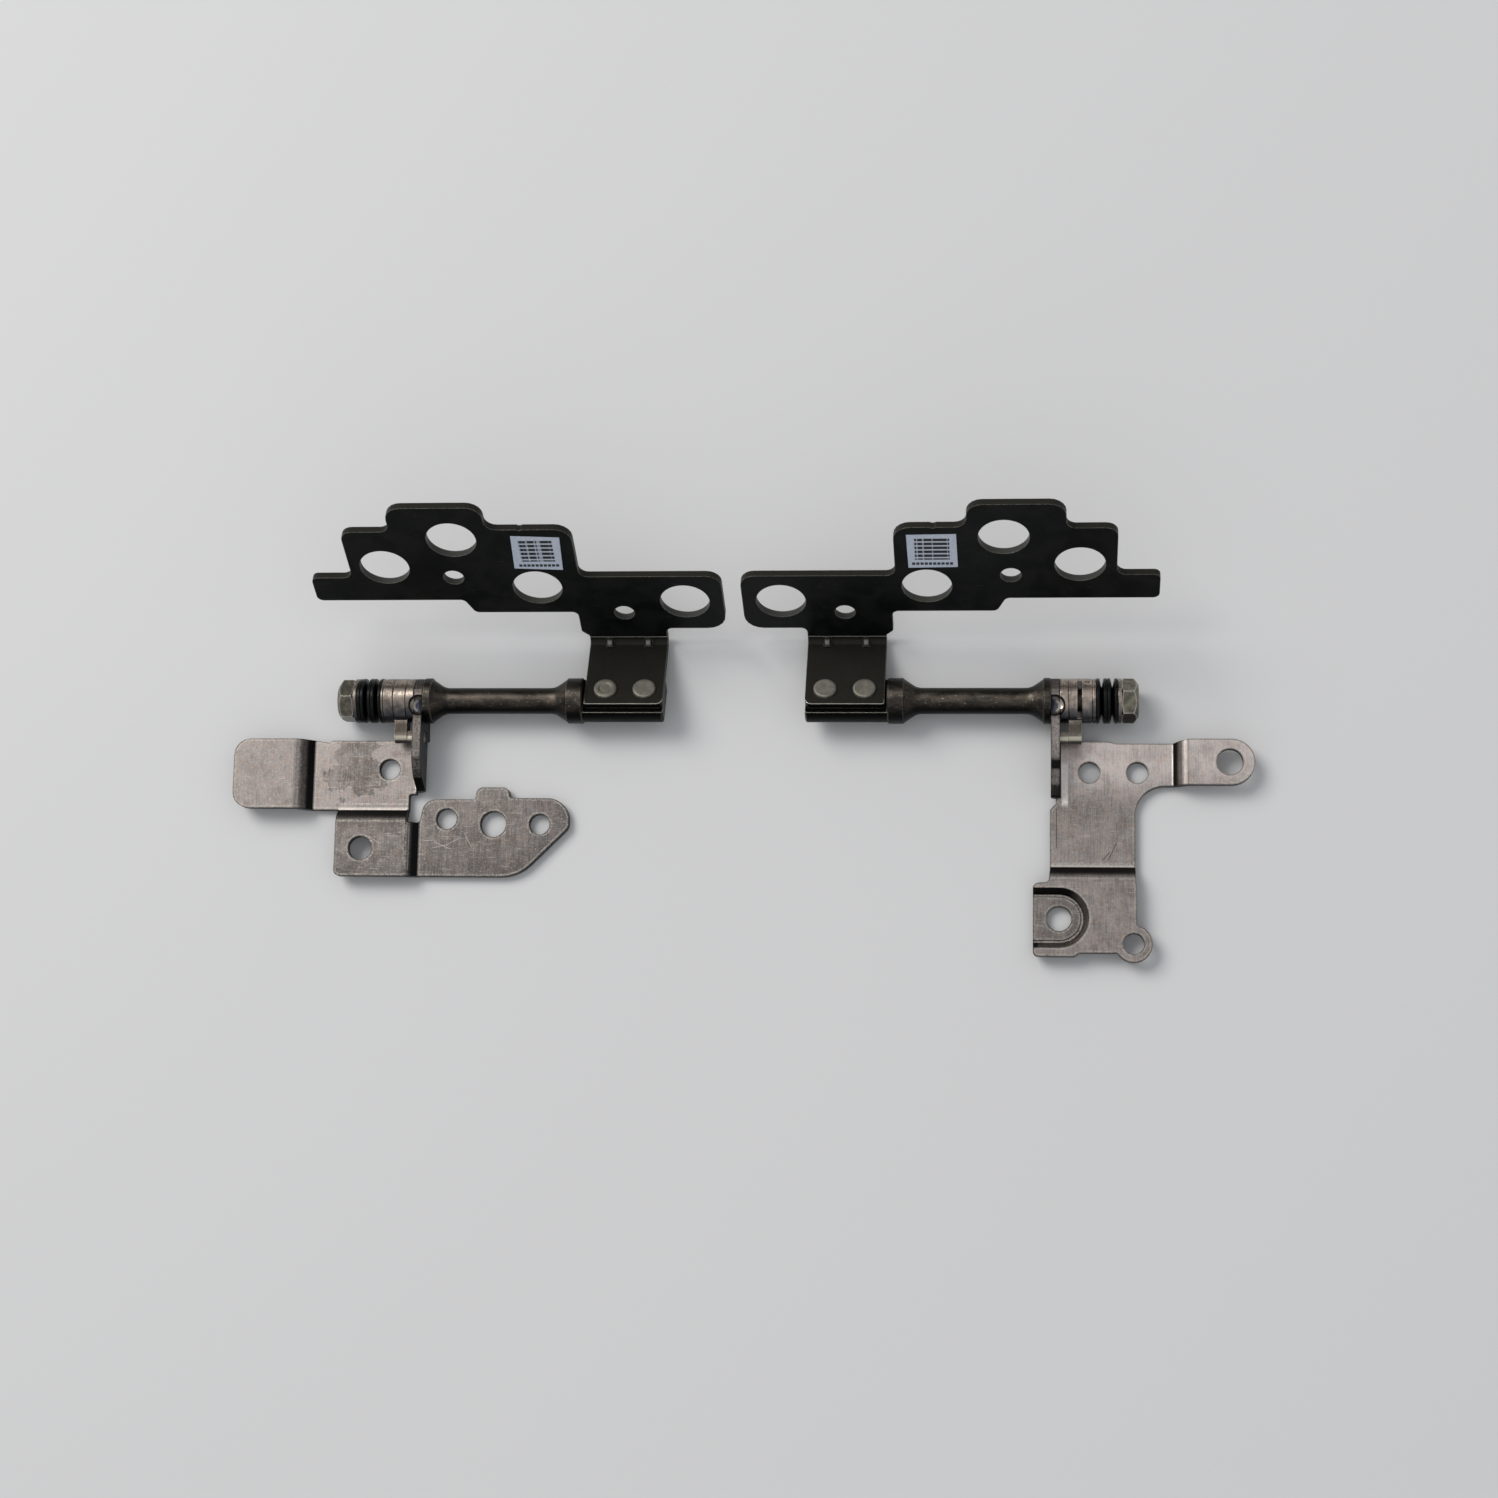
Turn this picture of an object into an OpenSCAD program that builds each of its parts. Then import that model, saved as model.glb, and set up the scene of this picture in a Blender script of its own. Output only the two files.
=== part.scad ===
// Pair of laptop hinges: a left and a right friction hinge, lying as loose parts on a table.
// Each hinge has a flat base bracket with an upright ear, a shaft that turns in the ear, a stack of
// friction washers and disc springs under a nut, and a lid bracket riveted to the shaft's tongue.
// Both hinges are drawn in one frame: x runs outward from the plane between them, y = 0 on the
// shaft axis, z = 0 on the table. The left one is mirrored.

/* [Sheet metal] */
// Thickness of the base bracket's sheet
base_t = 1.2; // [0.8:0.1:1.4]
// Thickness of the lid bracket's sheet
lid_t = 1.0; // [0.8:0.1:1.4]
// Inner radius of the bends in the base bracket
bend_r = 0.4; // [0.2:0.1:0.6]
// Inner radius of the bend between the lid bracket's tab and plate
lid_bend_r = 0.8; // [0.5:0.1:1.2]

/* [Pose] */
// How far the lid bracket's tab dips behind the shaft, as it lies in the picture
tab_dip = 27; // [20:1:32]
// Rest opening of the lid above closed, where a right angle is a tab that lies level
rest_open = 117; // [90:1:125]
// Most that the lid opens
full_open = 135; // [125:1:145]

/* [Shaft] */
// Height of the shaft axis above the table
axis_z = 3.2; // [3.1:0.1:4]
// Diameter of the milled tongue and its bar
tongue_d = 6.1; // [5.6:0.1:6.2]
// Thickness of the milled tongue
tongue_t = 2.2; // [1.6:0.1:2.6]
// Where the tongue starts, from the plane between the hinges
tongue_x = 9.8; // [8:0.1:12]
// Diameter of the collar beside the tongue and of the flange at the ear
collar_d = 6.3; // [5.8:0.1:6.4]
// Where the collar starts
collar_x = 21; // [20:0.1:22.5]
// Width of the collar
collar_w = 2.4; // [1:0.1:3.5]
// Length of each taper between the thick and the thin shaft
taper_l = 1.7; // [1:0.1:2.5]
// Fillet between each taper and the thin shaft
taper_r = 2.2; // [0.5:0.1:3]
// Diameter of the thin stretch of the shaft
shaft_d = 3.6; // [3.4:0.1:4.4]
// Width of the flange that bears on the ear
flange_w = 1.05; // [0.6:0.05:1.4]
// Diameter of the journal in the ear and of the keyed end
journal_d = 3.3; // [2.8:0.1:3.4]
// Width across the two flats of the keyed end
key_w = 2.6; // [2:0.1:2.7]
// Running clearance of the journal in its bores, on the radius
run_gap = 0.05; // [0.02:0.01:0.08]
// Clearance of the keyed pieces on the shaft, on the radius
key_gap = 0.02; // [0.01:0.01:0.05]
// Chamfer on the turned edges of the shaft
shaft_edge = 0.2; // [0.1:0.05:0.3]

/* [Friction stack] */
// Where the ear's inner face lies, from the plane between the hinges
ear_x = 43.3; // [42:0.1:45]
// Diameter of the washers
washer_d = 6.1; // [5.6:0.1:6.2]
// Chamfer on the rims of the washers
washer_edge = 0.1; // [0.05:0.05:0.15]
// Thickness of the spacer washer beside the ear
spacer_t = 1.2; // [0.8:0.05:1.4]
// Thickness of the stop cam
cam_t = 1.75; // [1.4:0.05:2.2]
// Depth of the stop recess in the cam
recess_h = 0.6; // [0.4:0.05:0.8]
// Angle that the stop lobe takes up
lobe_a = 30; // [20:1:40]
// Play between the lobe and the ends of the recess at each limit
stop_play = 1; // [0.5:0.5:2]
// Where the right lobe's outer flank stands at rest, from straight up towards the lid
right_lobe_at = 55; // [40:1:70]
// Where the left lobe's outer flank stands at rest, from straight up towards the lid
left_lobe_at = 215; // [200:1:220]
// Thickness of the stop washer that turns with the shaft
rotor_t = 1.45; // [1:0.05:2]
// Thickness of the left thin washer
left_thin_t = 0.3; // [0.2:0.05:0.6]
// Thickness of the right thin washer
right_thin_t = 0.5; // [0.2:0.05:0.6]
// Outer diameter of the disc springs
spring_d = 6.2; // [5.8:0.1:6.3]
// Sheet thickness of a disc spring
spring_t = 0.45; // [0.3:0.05:0.6]
// Height that a disc spring's cone adds to its sheet
spring_cone = 0.28; // [0.15:0.01:0.4]
// Thickness of the black washer under the left nut's own washer
left_backing_t = 0.5; // [0.3:0.05:0.8]
// Thickness of the washer under each nut
end_t = 0.55; // [0.3:0.05:0.8]
// Width of the nut across its flats
nut_w = 5.3; // [4.8:0.1:5.5]
// Height of the nut
nut_h = 2.25; // [1.8:0.05:3]
// Height of the chamfer on the nut's corners, at its outer end
nut_chamfer = 0.65; // [0.3:0.05:0.8]
// How far the left nut is turned
left_nut_turn = 57; // [0:1:59]
// How far the right nut is turned
right_nut_turn = 44; // [0:1:59]
// Chamfer at the mouth of the nut's bore
nut_mouth = 0.3; // [0.1:0.05:0.4]
// How far the shaft's end lies inside the nut
end_recess = 0.2; // [0.1:0.1:0.5]

/* [Lid bracket] */
// Distance from the shaft axis to the plate's front face, along the tab
plate_q = 8.9; // [8:0.1:11]
// Gap between the tab and the shaft's collar
tab_gap = 0.3; // [0.1:0.1:1]
// How far the tab runs past the shaft axis
tab_end = 2.1; // [1.6:0.1:2.6]
// Inner end of the plate, from the plane between the hinges
plate_in = 1.3; // [1:0.1:3]
// Length of the plate
plate_l = 56.5; // [48:0.1:68]
// Height of the plate's lowest edge above the shaft axis, at its inner end
edge_low = 5; // [4.5:0.1:6]
// Height of the next stretch of the lower edge above the lowest one
neck_h = 3.6; // [3:0.1:4.5]
// Height of the outer stretch of the lower edge above the one before
step_h = 2.7; // [1.5:0.1:3]
// Width of the plate at its outer end
end_h = 4.8; // [4:0.1:6]
// Height of the two shoulders above the lowest upper edge
shoulder_h = 9.8; // [8:0.1:12]
// Height of the plate's top above the inner shoulder
crown_h = 4.45; // [3.5:0.05:6]
// Drop of the outer shoulder below the inner one
shoulder_drop = 0.3; // [0:0.1:1]
// Length of the plate's outer end beyond the outer shoulder
end_l = 5.8; // [4:0.1:7]
// Width of the outer shoulder
outer_shoulder_w = 6.8; // [5.5:0.1:8]
// Width of the plate's top
crown_w = 13.1; // [11.5:0.1:15]
// Width of the left plate's inner shoulder, which carries the label
left_shoulder_w = 11.5; // [10:0.1:12]
// Width of the right plate's inner shoulder
right_shoulder_w = 9.7; // [9.5:0.1:12]
// Distance of the lower edge's step from the plate's outer end
step_in = 21.2; // [18:0.1:24]
// How much wider the neck is than the tab on its outer side
neck_step = 1; // [0.5:0.1:1.5]
// Width of the gusset beads in the bend
gusset_w = 1.1; // [0.8:0.1:1.4]
// Distance of the nick in the left plate's upper edge from the inner shoulder's side
left_nick_in = 6.9; // [4:0.1:8]
// Distance of that nick in the right plate
right_nick_in = 5.3; // [4:0.1:7]
// Depth of the nicks
nick_h = 0.15; // [0.05:0.05:0.3]

/* [Lid bracket holes] */
// Diameter of the four large holes
lid_hole_d = 6.8; // [6:0.1:7]
// Diameter of the two small holes
lid_pin_d = 2.85; // [2:0.05:3.2]
// Distance of the inner hole from the plate's inner end and upper edge
hole_1_in = 5.3; // [4.6:0.1:5.6]
// Distance of the second hole from the top's inner side
hole_2_in = 5.5; // [4.5:0.1:6]
// Distance of the second hole from the plate's lower edge
hole_2_up = 5.3; // [4.6:0.1:6]
// Distance of the third hole outward from the top's inner side
hole_3_out = 4.9; // [4.5:0.1:7]
// Distance of the third hole below the inner shoulder
hole_3_down = 2; // [1:0.1:3]
// Distance of the outer hole from the top's outer side
hole_4_out = 1.9; // [1:0.1:3]
// Distance of the outer hole above the lowest upper edge
hole_4_up = 2.2; // [1:0.1:3.5]
// Distance of the small hole over the tab from the lowest edge
pin_1_up = 3.4; // [2.5:0.1:4.5]
// Distance of the small hole under the top from the top's inner side
pin_2_out = 5.8; // [5:0.1:8]

/* [Rivets] */
// Distance of the inner rivet from the tongue's end
rivet_in = 2.7; // [2.2:0.1:3.2]
// Distance between the two rivets
rivet_pitch = 5.4; // [5:0.1:6]
// Distance of the rivets behind the shaft axis
rivet_q = 0.4; // [0:0.1:0.6]
// Diameter of the rivet heads
rivet_head_d = 3.2; // [2.8:0.1:3.4]
// Diameter of the rivet shanks
rivet_d = 2; // [1.6:0.1:2.2]
// Height of the rivet heads
rivet_head_h = 0.42; // [0.3:0.02:0.6]
// Diameter of the dish in the left outer rivet's head
dish_d = 1.9; // [1:0.1:2.2]
// Depth of that dish
dish_h = 0.12; // [0.05:0.01:0.2]

/* [Label] */
// Side of the square label
label_w = 6.6; // [5:0.1:6.8]
// Thickness of the label
label_t = 0.1; // [0.05:0.05:0.2]
// Distance of the label's centre from the inner shoulder's top
label_down = 4.7; // [4.4:0.1:5]
// Distance of the label's centre from the inner shoulder's side
label_in = 5.1; // [4.8:0.1:5.6]
// Tilt of the left label
left_label_tilt = 3; // [-5:1:5]
// Tilt of the right label
right_label_tilt = 1; // [-5:1:5]

/* [Ear] */
// Radius of the ear's round head
ear_r = 3.05; // [2.9:0.05:3.1]
// Where the ear's top edge starts to fall, in front of the axis
ear_flat_y = 8.4; // [7.5:0.1:9]
// Where the left ear ends, in front of the axis
left_ear_end = 12.5; // [12:0.1:13]
// Where the right ear ends
right_ear_end = 13.1; // [12.5:0.1:13.5]
// Length of the slope behind the left ear's top edge
left_slope_l = 1.6; // [1:0.1:1.9]
// Length of that slope on the right ear
right_slope_l = 1.2; // [0.8:0.1:1.9]
// Height at the foot of the left ear's slope
left_slope_z = 5.4; // [4:0.1:5.5]
// Height at the foot of the right ear's slope
right_slope_z = 4.4; // [4:0.1:5]
// Height of the left ear's heel
left_heel_z = 4.5; // [3:0.1:4.6]
// Height of the right ear's heel
right_heel_z = 3.7; // [3:0.1:4.2]
// Distance from the axis to the outer end of the cam's leg
leg_y = 6; // [5.4:0.1:6.2]
// Width of the cam's leg
leg_w = 2; // [1.4:0.1:2.4]
// Radius on the leg's end
leg_r = 0.9; // [0.2:0.1:0.9]
// Width of the tang that holds the cam in the ear's slot
tang_w = 1.6; // [0.8:0.1:1.8]
// Length of the tang along the ear
tang_l = 1.6; // [1:0.1:1.8]

/* [Left base bracket] */
// Back edge of both main plates, in front of the axis
back_y = 5.3; // [4.8:0.05:5.5]
// Where the left tab's step starts, outward from the ear
left_tab_out = 16; // [14.5:0.1:20]
// Length of the left tab from its step to its end
left_tab_l = 11.1; // [8:0.1:16]
// Rise of the left tab
left_tab_rise = 1.9; // [1.2:0.1:2.2]
// Front edge of the left tab and the main plate
left_main_y = 15.1; // [14.5:0.1:15.5]
// Inner side of the front pad, outward from the ear
pad_in = 2.5; // [2.2:0.1:3.5]
// Width of the front pad
pad_w = 9.9; // [8.5:0.1:12]
// Length of the front pad and its step
pad_l = 9.4; // [8.5:0.1:11]
// Rise of the front pad
pad_rise = 1.4; // [1:0.1:1.8]
// Length of the wing, inward from the pad
wing_l = 22.7; // [21:0.1:26]
// Back edge of the wing
wing_back_y = 13.55; // [13.3:0.05:14]
// Distance from the wing's back edge to its slanted corner, along its inner end
wing_end_l = 3.9; // [3.4:0.1:5]
// Radius of the wing's inner end
wing_end_r = 3; // [2.5:0.1:3.2]
// Radius between the slanted corner and the wing's front edge
wing_front_r = 6; // [2:0.1:7]
// Distance from the pad to the bump on the wing's back edge
bump_in = 9.5; // [8:0.1:11]
// Width of the bump
bump_w = 4.8; // [3.5:0.1:6]
// Height of the bump
bump_h = 1.7; // [1:0.1:2]

/* [Left base holes] */
// Diameter of the main plate's hole
left_main_hole_d = 2.9; // [2:0.1:4]
// Distance of that hole outward from the ear
left_main_hole_out = 5.3; // [4.5:0.1:9]
// Distance of that hole from the back edge
left_main_hole_y = 4.05; // [3:0.05:6]
// Diameter of the pad's hole
pad_hole_d = 3.3; // [2:0.1:4]
// Distance of the pad's hole outward from its inner side
pad_hole_out = 6.3; // [4:0.1:7]
// Distance of the pad's hole from its front edge
pad_hole_front = 3.9; // [3:0.1:4.5]
// Diameter of the wing's hole beside the pad
wing_hole_1_d = 2.9; // [2:0.1:3.5]
// Diameter of the wing's middle hole
wing_hole_2_d = 3.6; // [2.5:0.1:4.2]
// Diameter of the wing's inner hole
wing_hole_3_d = 2.85; // [2:0.05:3.5]
// Distance of the wing's first hole inward from the pad
wing_hole_1_in = 5.5; // [4.5:0.1:6.5]
// Distance between the wing's first and second hole
wing_pitch_1 = 6.6; // [5.5:0.1:7.5]
// Distance between the wing's second and third hole
wing_pitch_2 = 6.5; // [5.5:0.1:7.5]
// Distance of the wing's first hole from its back edge
wing_hole_1_y = 2.75; // [2.5:0.05:4]
// Distance of the wing's other holes from its back edge
wing_hole_2_y = 3.45; // [3:0.05:4.5]

/* [Right base bracket] */
// Where the right tab's step starts, outward from the ear
right_tab_out = 16.5; // [14.5:0.1:18]
// Length of the right tab from its step to its end
right_tab_l = 11; // [9:0.1:16]
// Rise of the right tab
right_tab_rise = 1.5; // [1:0.1:2]
// Back edge of the right tab
right_tab_back_y = 5.1; // [4.5:0.05:5.3]
// Width of the right tab
right_tab_w = 6.3; // [5.5:0.1:7]
// Outer side of the main plate's stem, outward from the ear
stem_out = 11.4; // [10.5:0.1:13]
// How far the stem's inner side lies inward of the ear
stem_in = 0.1; // [0:0.1:0.4]
// Rise of the front plate
front_rise = 1.3; // [1:0.1:1.6]
// Where the front plate's step starts, in front of the axis
front_y = 22.55; // [21:0.05:26]
// Length of the front plate and its step
front_l = 12.3; // [12:0.1:14]
// How far the front plate's inner side lies inward of the ear
front_in = 2.4; // [1.5:0.1:2.6]
// Radius of the sunk pad's floor
sunk_r = 3.28; // [2.8:0.02:3.4]
// Slope of the sunk pad's wall, measured across
sunk_wall = 0.7; // [0.4:0.1:0.8]
// Width of the groove round the sunk pad's floor
groove_w = 0.35; // [0.2:0.05:0.5]
// Depth of that groove
groove_h = 0.18; // [0.1:0.02:0.25]
// Outer radius of the ring at the corner
ring_r = 2.53; // [2.3:0.01:2.9]

/* [Right base holes] */
// Diameter of the main plate's two holes
right_main_hole_d = 2.9; // [2:0.1:4]
// Distance of the first hole outward from the ear
right_main_hole_out = 5.2; // [4.5:0.1:6]
// Distance between the two holes
right_main_pitch = 6.5; // [5.5:0.1:7]
// Distance of the two holes from the back edge
right_main_hole_y = 4.25; // [3:0.05:6]
// Diameter of the tab's hole
tab_hole_d = 3.55; // [2.5:0.05:4]
// Distance of the tab's hole from its end
tab_hole_in = 3.4; // [3:0.1:4]
// Diameter of the sunk pad's hole
sunk_hole_d = 3.35; // [2.5:0.05:4.5]
// Distance of the sunk pad's centre from the front plate's inner side
sunk_in = 3.5; // [3:0.1:4.5]
// Distance of the sunk pad's centre from the front plate's step
sunk_y = 7.05; // [7:0.05:8]
// Diameter of the ring's hole
ring_hole_d = 2.8; // [2:0.1:3.2]
// Distance of the ring's centre inward of the stem's outer side
ring_in = 0.3; // [0:0.1:0.6]
// Distance of the ring's centre from the front plate's step
ring_y = 10.5; // [10:0.1:11.5]

/* [Hidden] */

// Sides of a round face, and steps of a rounded corner and of a larger arc
round_fn = 64;
corner_steps = 5;
arc_steps = 16;
// Overlap of pieces that are fused, so that no face is shared
fuse = 0.3;

// Stack positions along the shaft, outward from the ear
ear_out = ear_x + base_t;
cam_x = ear_out + spacer_t;
rotor_x = cam_x + cam_t;
thin_x = rotor_x + rotor_t;
spring_h = spring_t + spring_cone;
flange_x = ear_x - flange_w;
function thin_t(left) = left ? left_thin_t : right_thin_t;
function spring_x(left, i) = thin_x + thin_t(left) + i * spring_h;
function backing_x(left) = spring_x(left, 4);
function end_x(left) = backing_x(left) + (left ? left_backing_t : 0);
function nut_x(left) = end_x(left) + end_t;
function shaft_end_x(left) = nut_x(left) + nut_h - end_recess;
bore_d = journal_d + 2 * run_gap;

// Travel of the lid, from rest to closed and from rest to its stop
close_travel = rest_open;
open_travel = full_open - rest_open;

// Lid bracket: edges of the tab and the plate, outward from the plane between the hinges
tab_in = tongue_x;
tab_out = collar_x - tab_gap;
plate_out = plate_in + plate_l;
end_in_x = plate_out - end_l;
crown_out_x = end_in_x - outer_shoulder_w;
crown_in_x = crown_out_x - crown_w;
step_x = plate_out - step_in;
function shoulder_x(left) = crown_in_x - (left ? left_shoulder_w : right_shoulder_w);

// Heights square to the tab: its two faces and the plate's edges above the shaft axis
tab_under = tongue_t / 2;
tab_over = tab_under + lid_t;
edge_mid = edge_low + neck_h;
edge_out = edge_mid + step_h;
edge_top1 = edge_out + end_h;
edge_top2 = edge_top1 + shoulder_h;
edge_top3 = edge_top2 + crown_h;

// Hole centres in the plate, across and up
lid_holes = [[plate_in + hole_1_in, edge_top1 - hole_1_in],
             [crown_in_x - hole_2_in, edge_mid + hole_2_up],
             [crown_in_x + hole_3_out, edge_top2 - hole_3_down],
             [crown_out_x + hole_4_out, edge_top1 + hole_4_up]];
lid_pins = [[(tab_in + tab_out) / 2, edge_low + pin_1_up], [crown_in_x + pin_2_out, edge_top1]];

// Ear and tang
ear_top = axis_z + ear_r;
tang_y = leg_y - tang_l;

// Left base bracket: x outward, y in front of the axis, holes as x, y and diameter
left_tab_x = ear_x + left_tab_out;
left_reach = left_tab_x + left_tab_l;
pad_in_x = ear_x + pad_in;
pad_out_x = pad_in_x + pad_w;
left_front_y = left_main_y + pad_l;
wing_end_x = pad_in_x - wing_l;
wing_hole_x = pad_in_x - wing_hole_1_in;
left_holes = [[ear_x + left_main_hole_out, back_y + left_main_hole_y, left_main_hole_d],
              [pad_in_x + pad_hole_out, left_front_y - pad_hole_front, pad_hole_d],
              [wing_hole_x, wing_back_y + wing_hole_1_y, wing_hole_1_d],
              [wing_hole_x - wing_pitch_1, wing_back_y + wing_hole_2_y, wing_hole_2_d],
              [wing_hole_x - wing_pitch_1 - wing_pitch_2, wing_back_y + wing_hole_2_y, wing_hole_3_d]];

// Right base bracket, measured the same way
right_tab_x = ear_x + right_tab_out;
right_reach = right_tab_x + right_tab_l;
right_tab_y = right_tab_back_y + right_tab_w / 2;
stem_out_x = ear_x + stem_out;
stem_in_x = ear_x - stem_in;
front_in_x = ear_x - front_in;
front_edge_y = front_y + front_l;
sunk_at = [front_in_x + sunk_in, front_y + sunk_y];
ring_at = [stem_out_x - ring_in, front_y + ring_y];
right_main_hole_x = ear_x + right_main_hole_out;
right_holes = [[right_main_hole_x, back_y + right_main_hole_y, right_main_hole_d],
               [right_main_hole_x + right_main_pitch, back_y + right_main_hole_y, right_main_hole_d],
               [right_reach - tab_hole_in, right_tab_y, tab_hole_d],
               [sunk_at.x, sunk_at.y, sunk_hole_d],
               [ring_at.x, ring_at.y, ring_hole_d]];

// Place of the whole pair: centred on its box, standing on the table
plate_back_q = plate_q + lid_t;
y_max = plate_back_q * cos(tab_dip) + edge_top3 * sin(tab_dip);
y_min = -(ring_at.y + ring_r);
x_shift = -(right_reach - left_reach) / 2;
y_shift = -(y_max + y_min) / 2;

// Colours as the photo shows them
bracket_gray = [0.55, 0.52, 0.5];
lid_black = [0.1, 0.1, 0.1];
shaft_brown = [0.27, 0.25, 0.23];
washer_silver = [0.72, 0.7, 0.66];
spring_black = [0.07, 0.07, 0.08];
nut_gray = [0.5, 0.48, 0.44];
label_white = [0.8, 0.83, 0.88];

// Outline helpers: a point is [x, y] or [x, y, r], where r rounds the corner
function flat2(p) = [p.x, p.y];
function unit(v) = v / norm(v);
function corner(a, b, c, r) =
    let (u = unit(a - b), v = unit(c - b), half = acos(max(-1, min(1, u * v))) / 2)
    r <= 0 || half > 89.5 ? [b] :
    let (reach = min(r / tan(half), 0.48 * min(norm(a - b), norm(c - b))),
         rr = reach * tan(half),
         m = b + unit(u + v) * rr / sin(half),
         from = b + u * reach - m,
         to = b + v * reach - m,
         a0 = atan2(from.y, from.x),
         turn = atan2(to.y, to.x) - a0,
         sweep = turn > 180 ? turn - 360 : turn < -180 ? turn + 360 : turn)
    [for (i = [0 : corner_steps]) m + rr * [cos(a0 + sweep * i / corner_steps),
                                            sin(a0 + sweep * i / corner_steps)]];
function rounded(p) =
    [for (i = [0 : len(p) - 1])
        each corner(flat2(p[(i + len(p) - 1) % len(p)]), flat2(p[i]), flat2(p[(i + 1) % len(p)]),
                    len(p[i]) > 2 ? p[i][2] : 0)];
function arc(c, r, a0, a1, n) = [for (i = [0 : n]) c + r * [cos(a0 + (a1 - a0) * i / n),
                                                            sin(a0 + (a1 - a0) * i / n)]];

// Side view of a sheet that steps up by "rise" at 45 degrees, where its top face starts to climb
// at "at" and runs on to "to"
function stepped(from, at, rise, to, t) =
    let (k = t * tan(22.5), d = to > from ? 1 : -1, out_r = bend_r + t)
    rounded([[from, 0], [at + d * k, 0, out_r], [at + d * (k + rise), rise, bend_r], [to, rise],
             [to, rise + t], [at + d * rise, rise + t, out_r], [at, t, bend_r], [from, t]]);

// Placing helpers
module on_right() translate([x_shift, y_shift, 0]) children();
module on_left() translate([x_shift, y_shift, 0]) mirror([1, 0, 0]) children();
// y is given in front of the axis, so outlines below use positive numbers
module front() mirror([0, 1, 0]) children();
module sheet(points, h) linear_extrude(h) polygon(rounded(points));
// A side view in x and z, swept across y from y0 to y1
module swept_y(points, y0, y1) translate([0, y1, 0]) rotate([90, 0, 0])
    linear_extrude(y1 - y0) polygon(points);
// A side view in y and z, swept across x from x0 to x1
module swept_x(points, x0, x1) translate([x0, 0, 0]) rotate([90, 0, 90])
    linear_extrude(x1 - x0) polygon(points);
module rod(x0, x1, d) translate([x0, 0, axis_z]) rotate([0, 90, 0])
    cylinder(h = x1 - x0, d = d, $fn = round_fn);
// The lid bracket's own frame: y along the tab behind the axis, z square to the tab
module tab_frame() translate([0, 0, axis_z]) rotate([-tab_dip, 0, 0]) children();
// A turned disc along the shaft with chamfered rims
module disc(x0, x1, d, edge) translate([0, 0, axis_z]) rotate([0, 90, 0]) rotate_extrude($fn = round_fn)
    polygon([[0, x0], [d / 2 - edge, x0], [d / 2, x0 + edge], [d / 2, x1 - edge], [d / 2 - edge, x1],
             [0, x1]]);
module keyed(x0, x1, gap) intersection() {
    rod(x0, x1, journal_d + 2 * gap);
    tab_frame() translate([x0, -journal_d, -key_w / 2 - gap])
        cube([x1 - x0, 2 * journal_d, key_w + 2 * gap]);
}
module washer(x0, t) difference() {
    disc(x0, x0 + t, washer_d, min(washer_edge, t / 4));
    keyed(x0 - fuse, x0 + t + fuse, key_gap);
}
// A wedge of the stack from angle a0 to a1, measured from straight up towards the lid
module wedge(x0, x1, a0, a1)
    swept_x([[0, axis_z], each arc([0, axis_z], washer_d, 90 - a0, 90 - a1, arc_steps)], x0, x1);

// Sheet of the left base: raised tab, main plate, front pad and low wing
module left_plates() {
    over = base_t + left_tab_rise + pad_rise;
    in_x = ear_out + bend_r;
    tab_r = 2.3;
    dip = 0.3;
    dip_w = 2.4;
    slit = 0.35;
    under = 3;
    slit_x = pad_in_x - 0.1;
    slit_y = left_ear_end + slit;
    intersection() {
        sheet([[left_reach, back_y, tab_r], [left_tab_x, back_y],
               [left_tab_x - dip_w + 0.4, back_y + dip, 0.4], [left_tab_x - dip_w, back_y],
               [in_x, back_y], [in_x, left_ear_end],
               [ear_out + 0.2, left_ear_end], [ear_out + 0.2, slit_y], [slit_x, slit_y, 0.3],
               [slit_x, left_main_y], [left_reach, left_main_y, tab_r]], over);
        swept_y(stepped(in_x - under, left_tab_x, left_tab_rise, left_reach + under, base_t),
                0, left_front_y);
    }
    intersection() {
        sheet([[pad_out_x, left_main_y - 1], [pad_in_x, left_main_y - 1],
               [pad_in_x, left_front_y - 2], [pad_out_x, left_front_y - 2]], over);
        swept_x(stepped(left_main_y - under, left_main_y, pad_rise, left_front_y, base_t), 0, left_reach);
    }
    wing_x = pad_in_x - 1.7;
    wing_top_y = wing_back_y - 0.2;
    bump_out_x = pad_in_x - bump_in;
    bump_in_x = bump_out_x - bump_w;
    bump_y = wing_back_y - bump_h;
    joined_y = left_main_y + 1.8;
    wing_front_y = left_front_y - 0.15;
    slant = wing_front_y - wing_back_y - wing_end_l;
    intersection() {
        sheet([[pad_out_x, joined_y], [wing_x, joined_y, 0.5], [wing_x - 0.6, wing_back_y, 2],
               [bump_out_x, wing_back_y, 0.4], [bump_out_x - 0.2, bump_y, 1], [bump_in_x + 0.2, bump_y, 1],
               [bump_in_x, wing_top_y, 0.4],
               each arc([wing_end_x + wing_end_r, wing_top_y + wing_end_r], wing_end_r, -90, -180, arc_steps),
               [wing_end_x, wing_back_y + wing_end_l, 1.5], [wing_end_x + slant, wing_front_y, wing_front_r],
               [pad_in_x - 2, wing_front_y], [pad_in_x, left_front_y], [pad_out_x, left_front_y, 0.8]], over);
        swept_y(stepped(wing_end_x - under, wing_x, pad_rise, pad_out_x + under, base_t),
                0, left_front_y + 1);
    }
}

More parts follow.
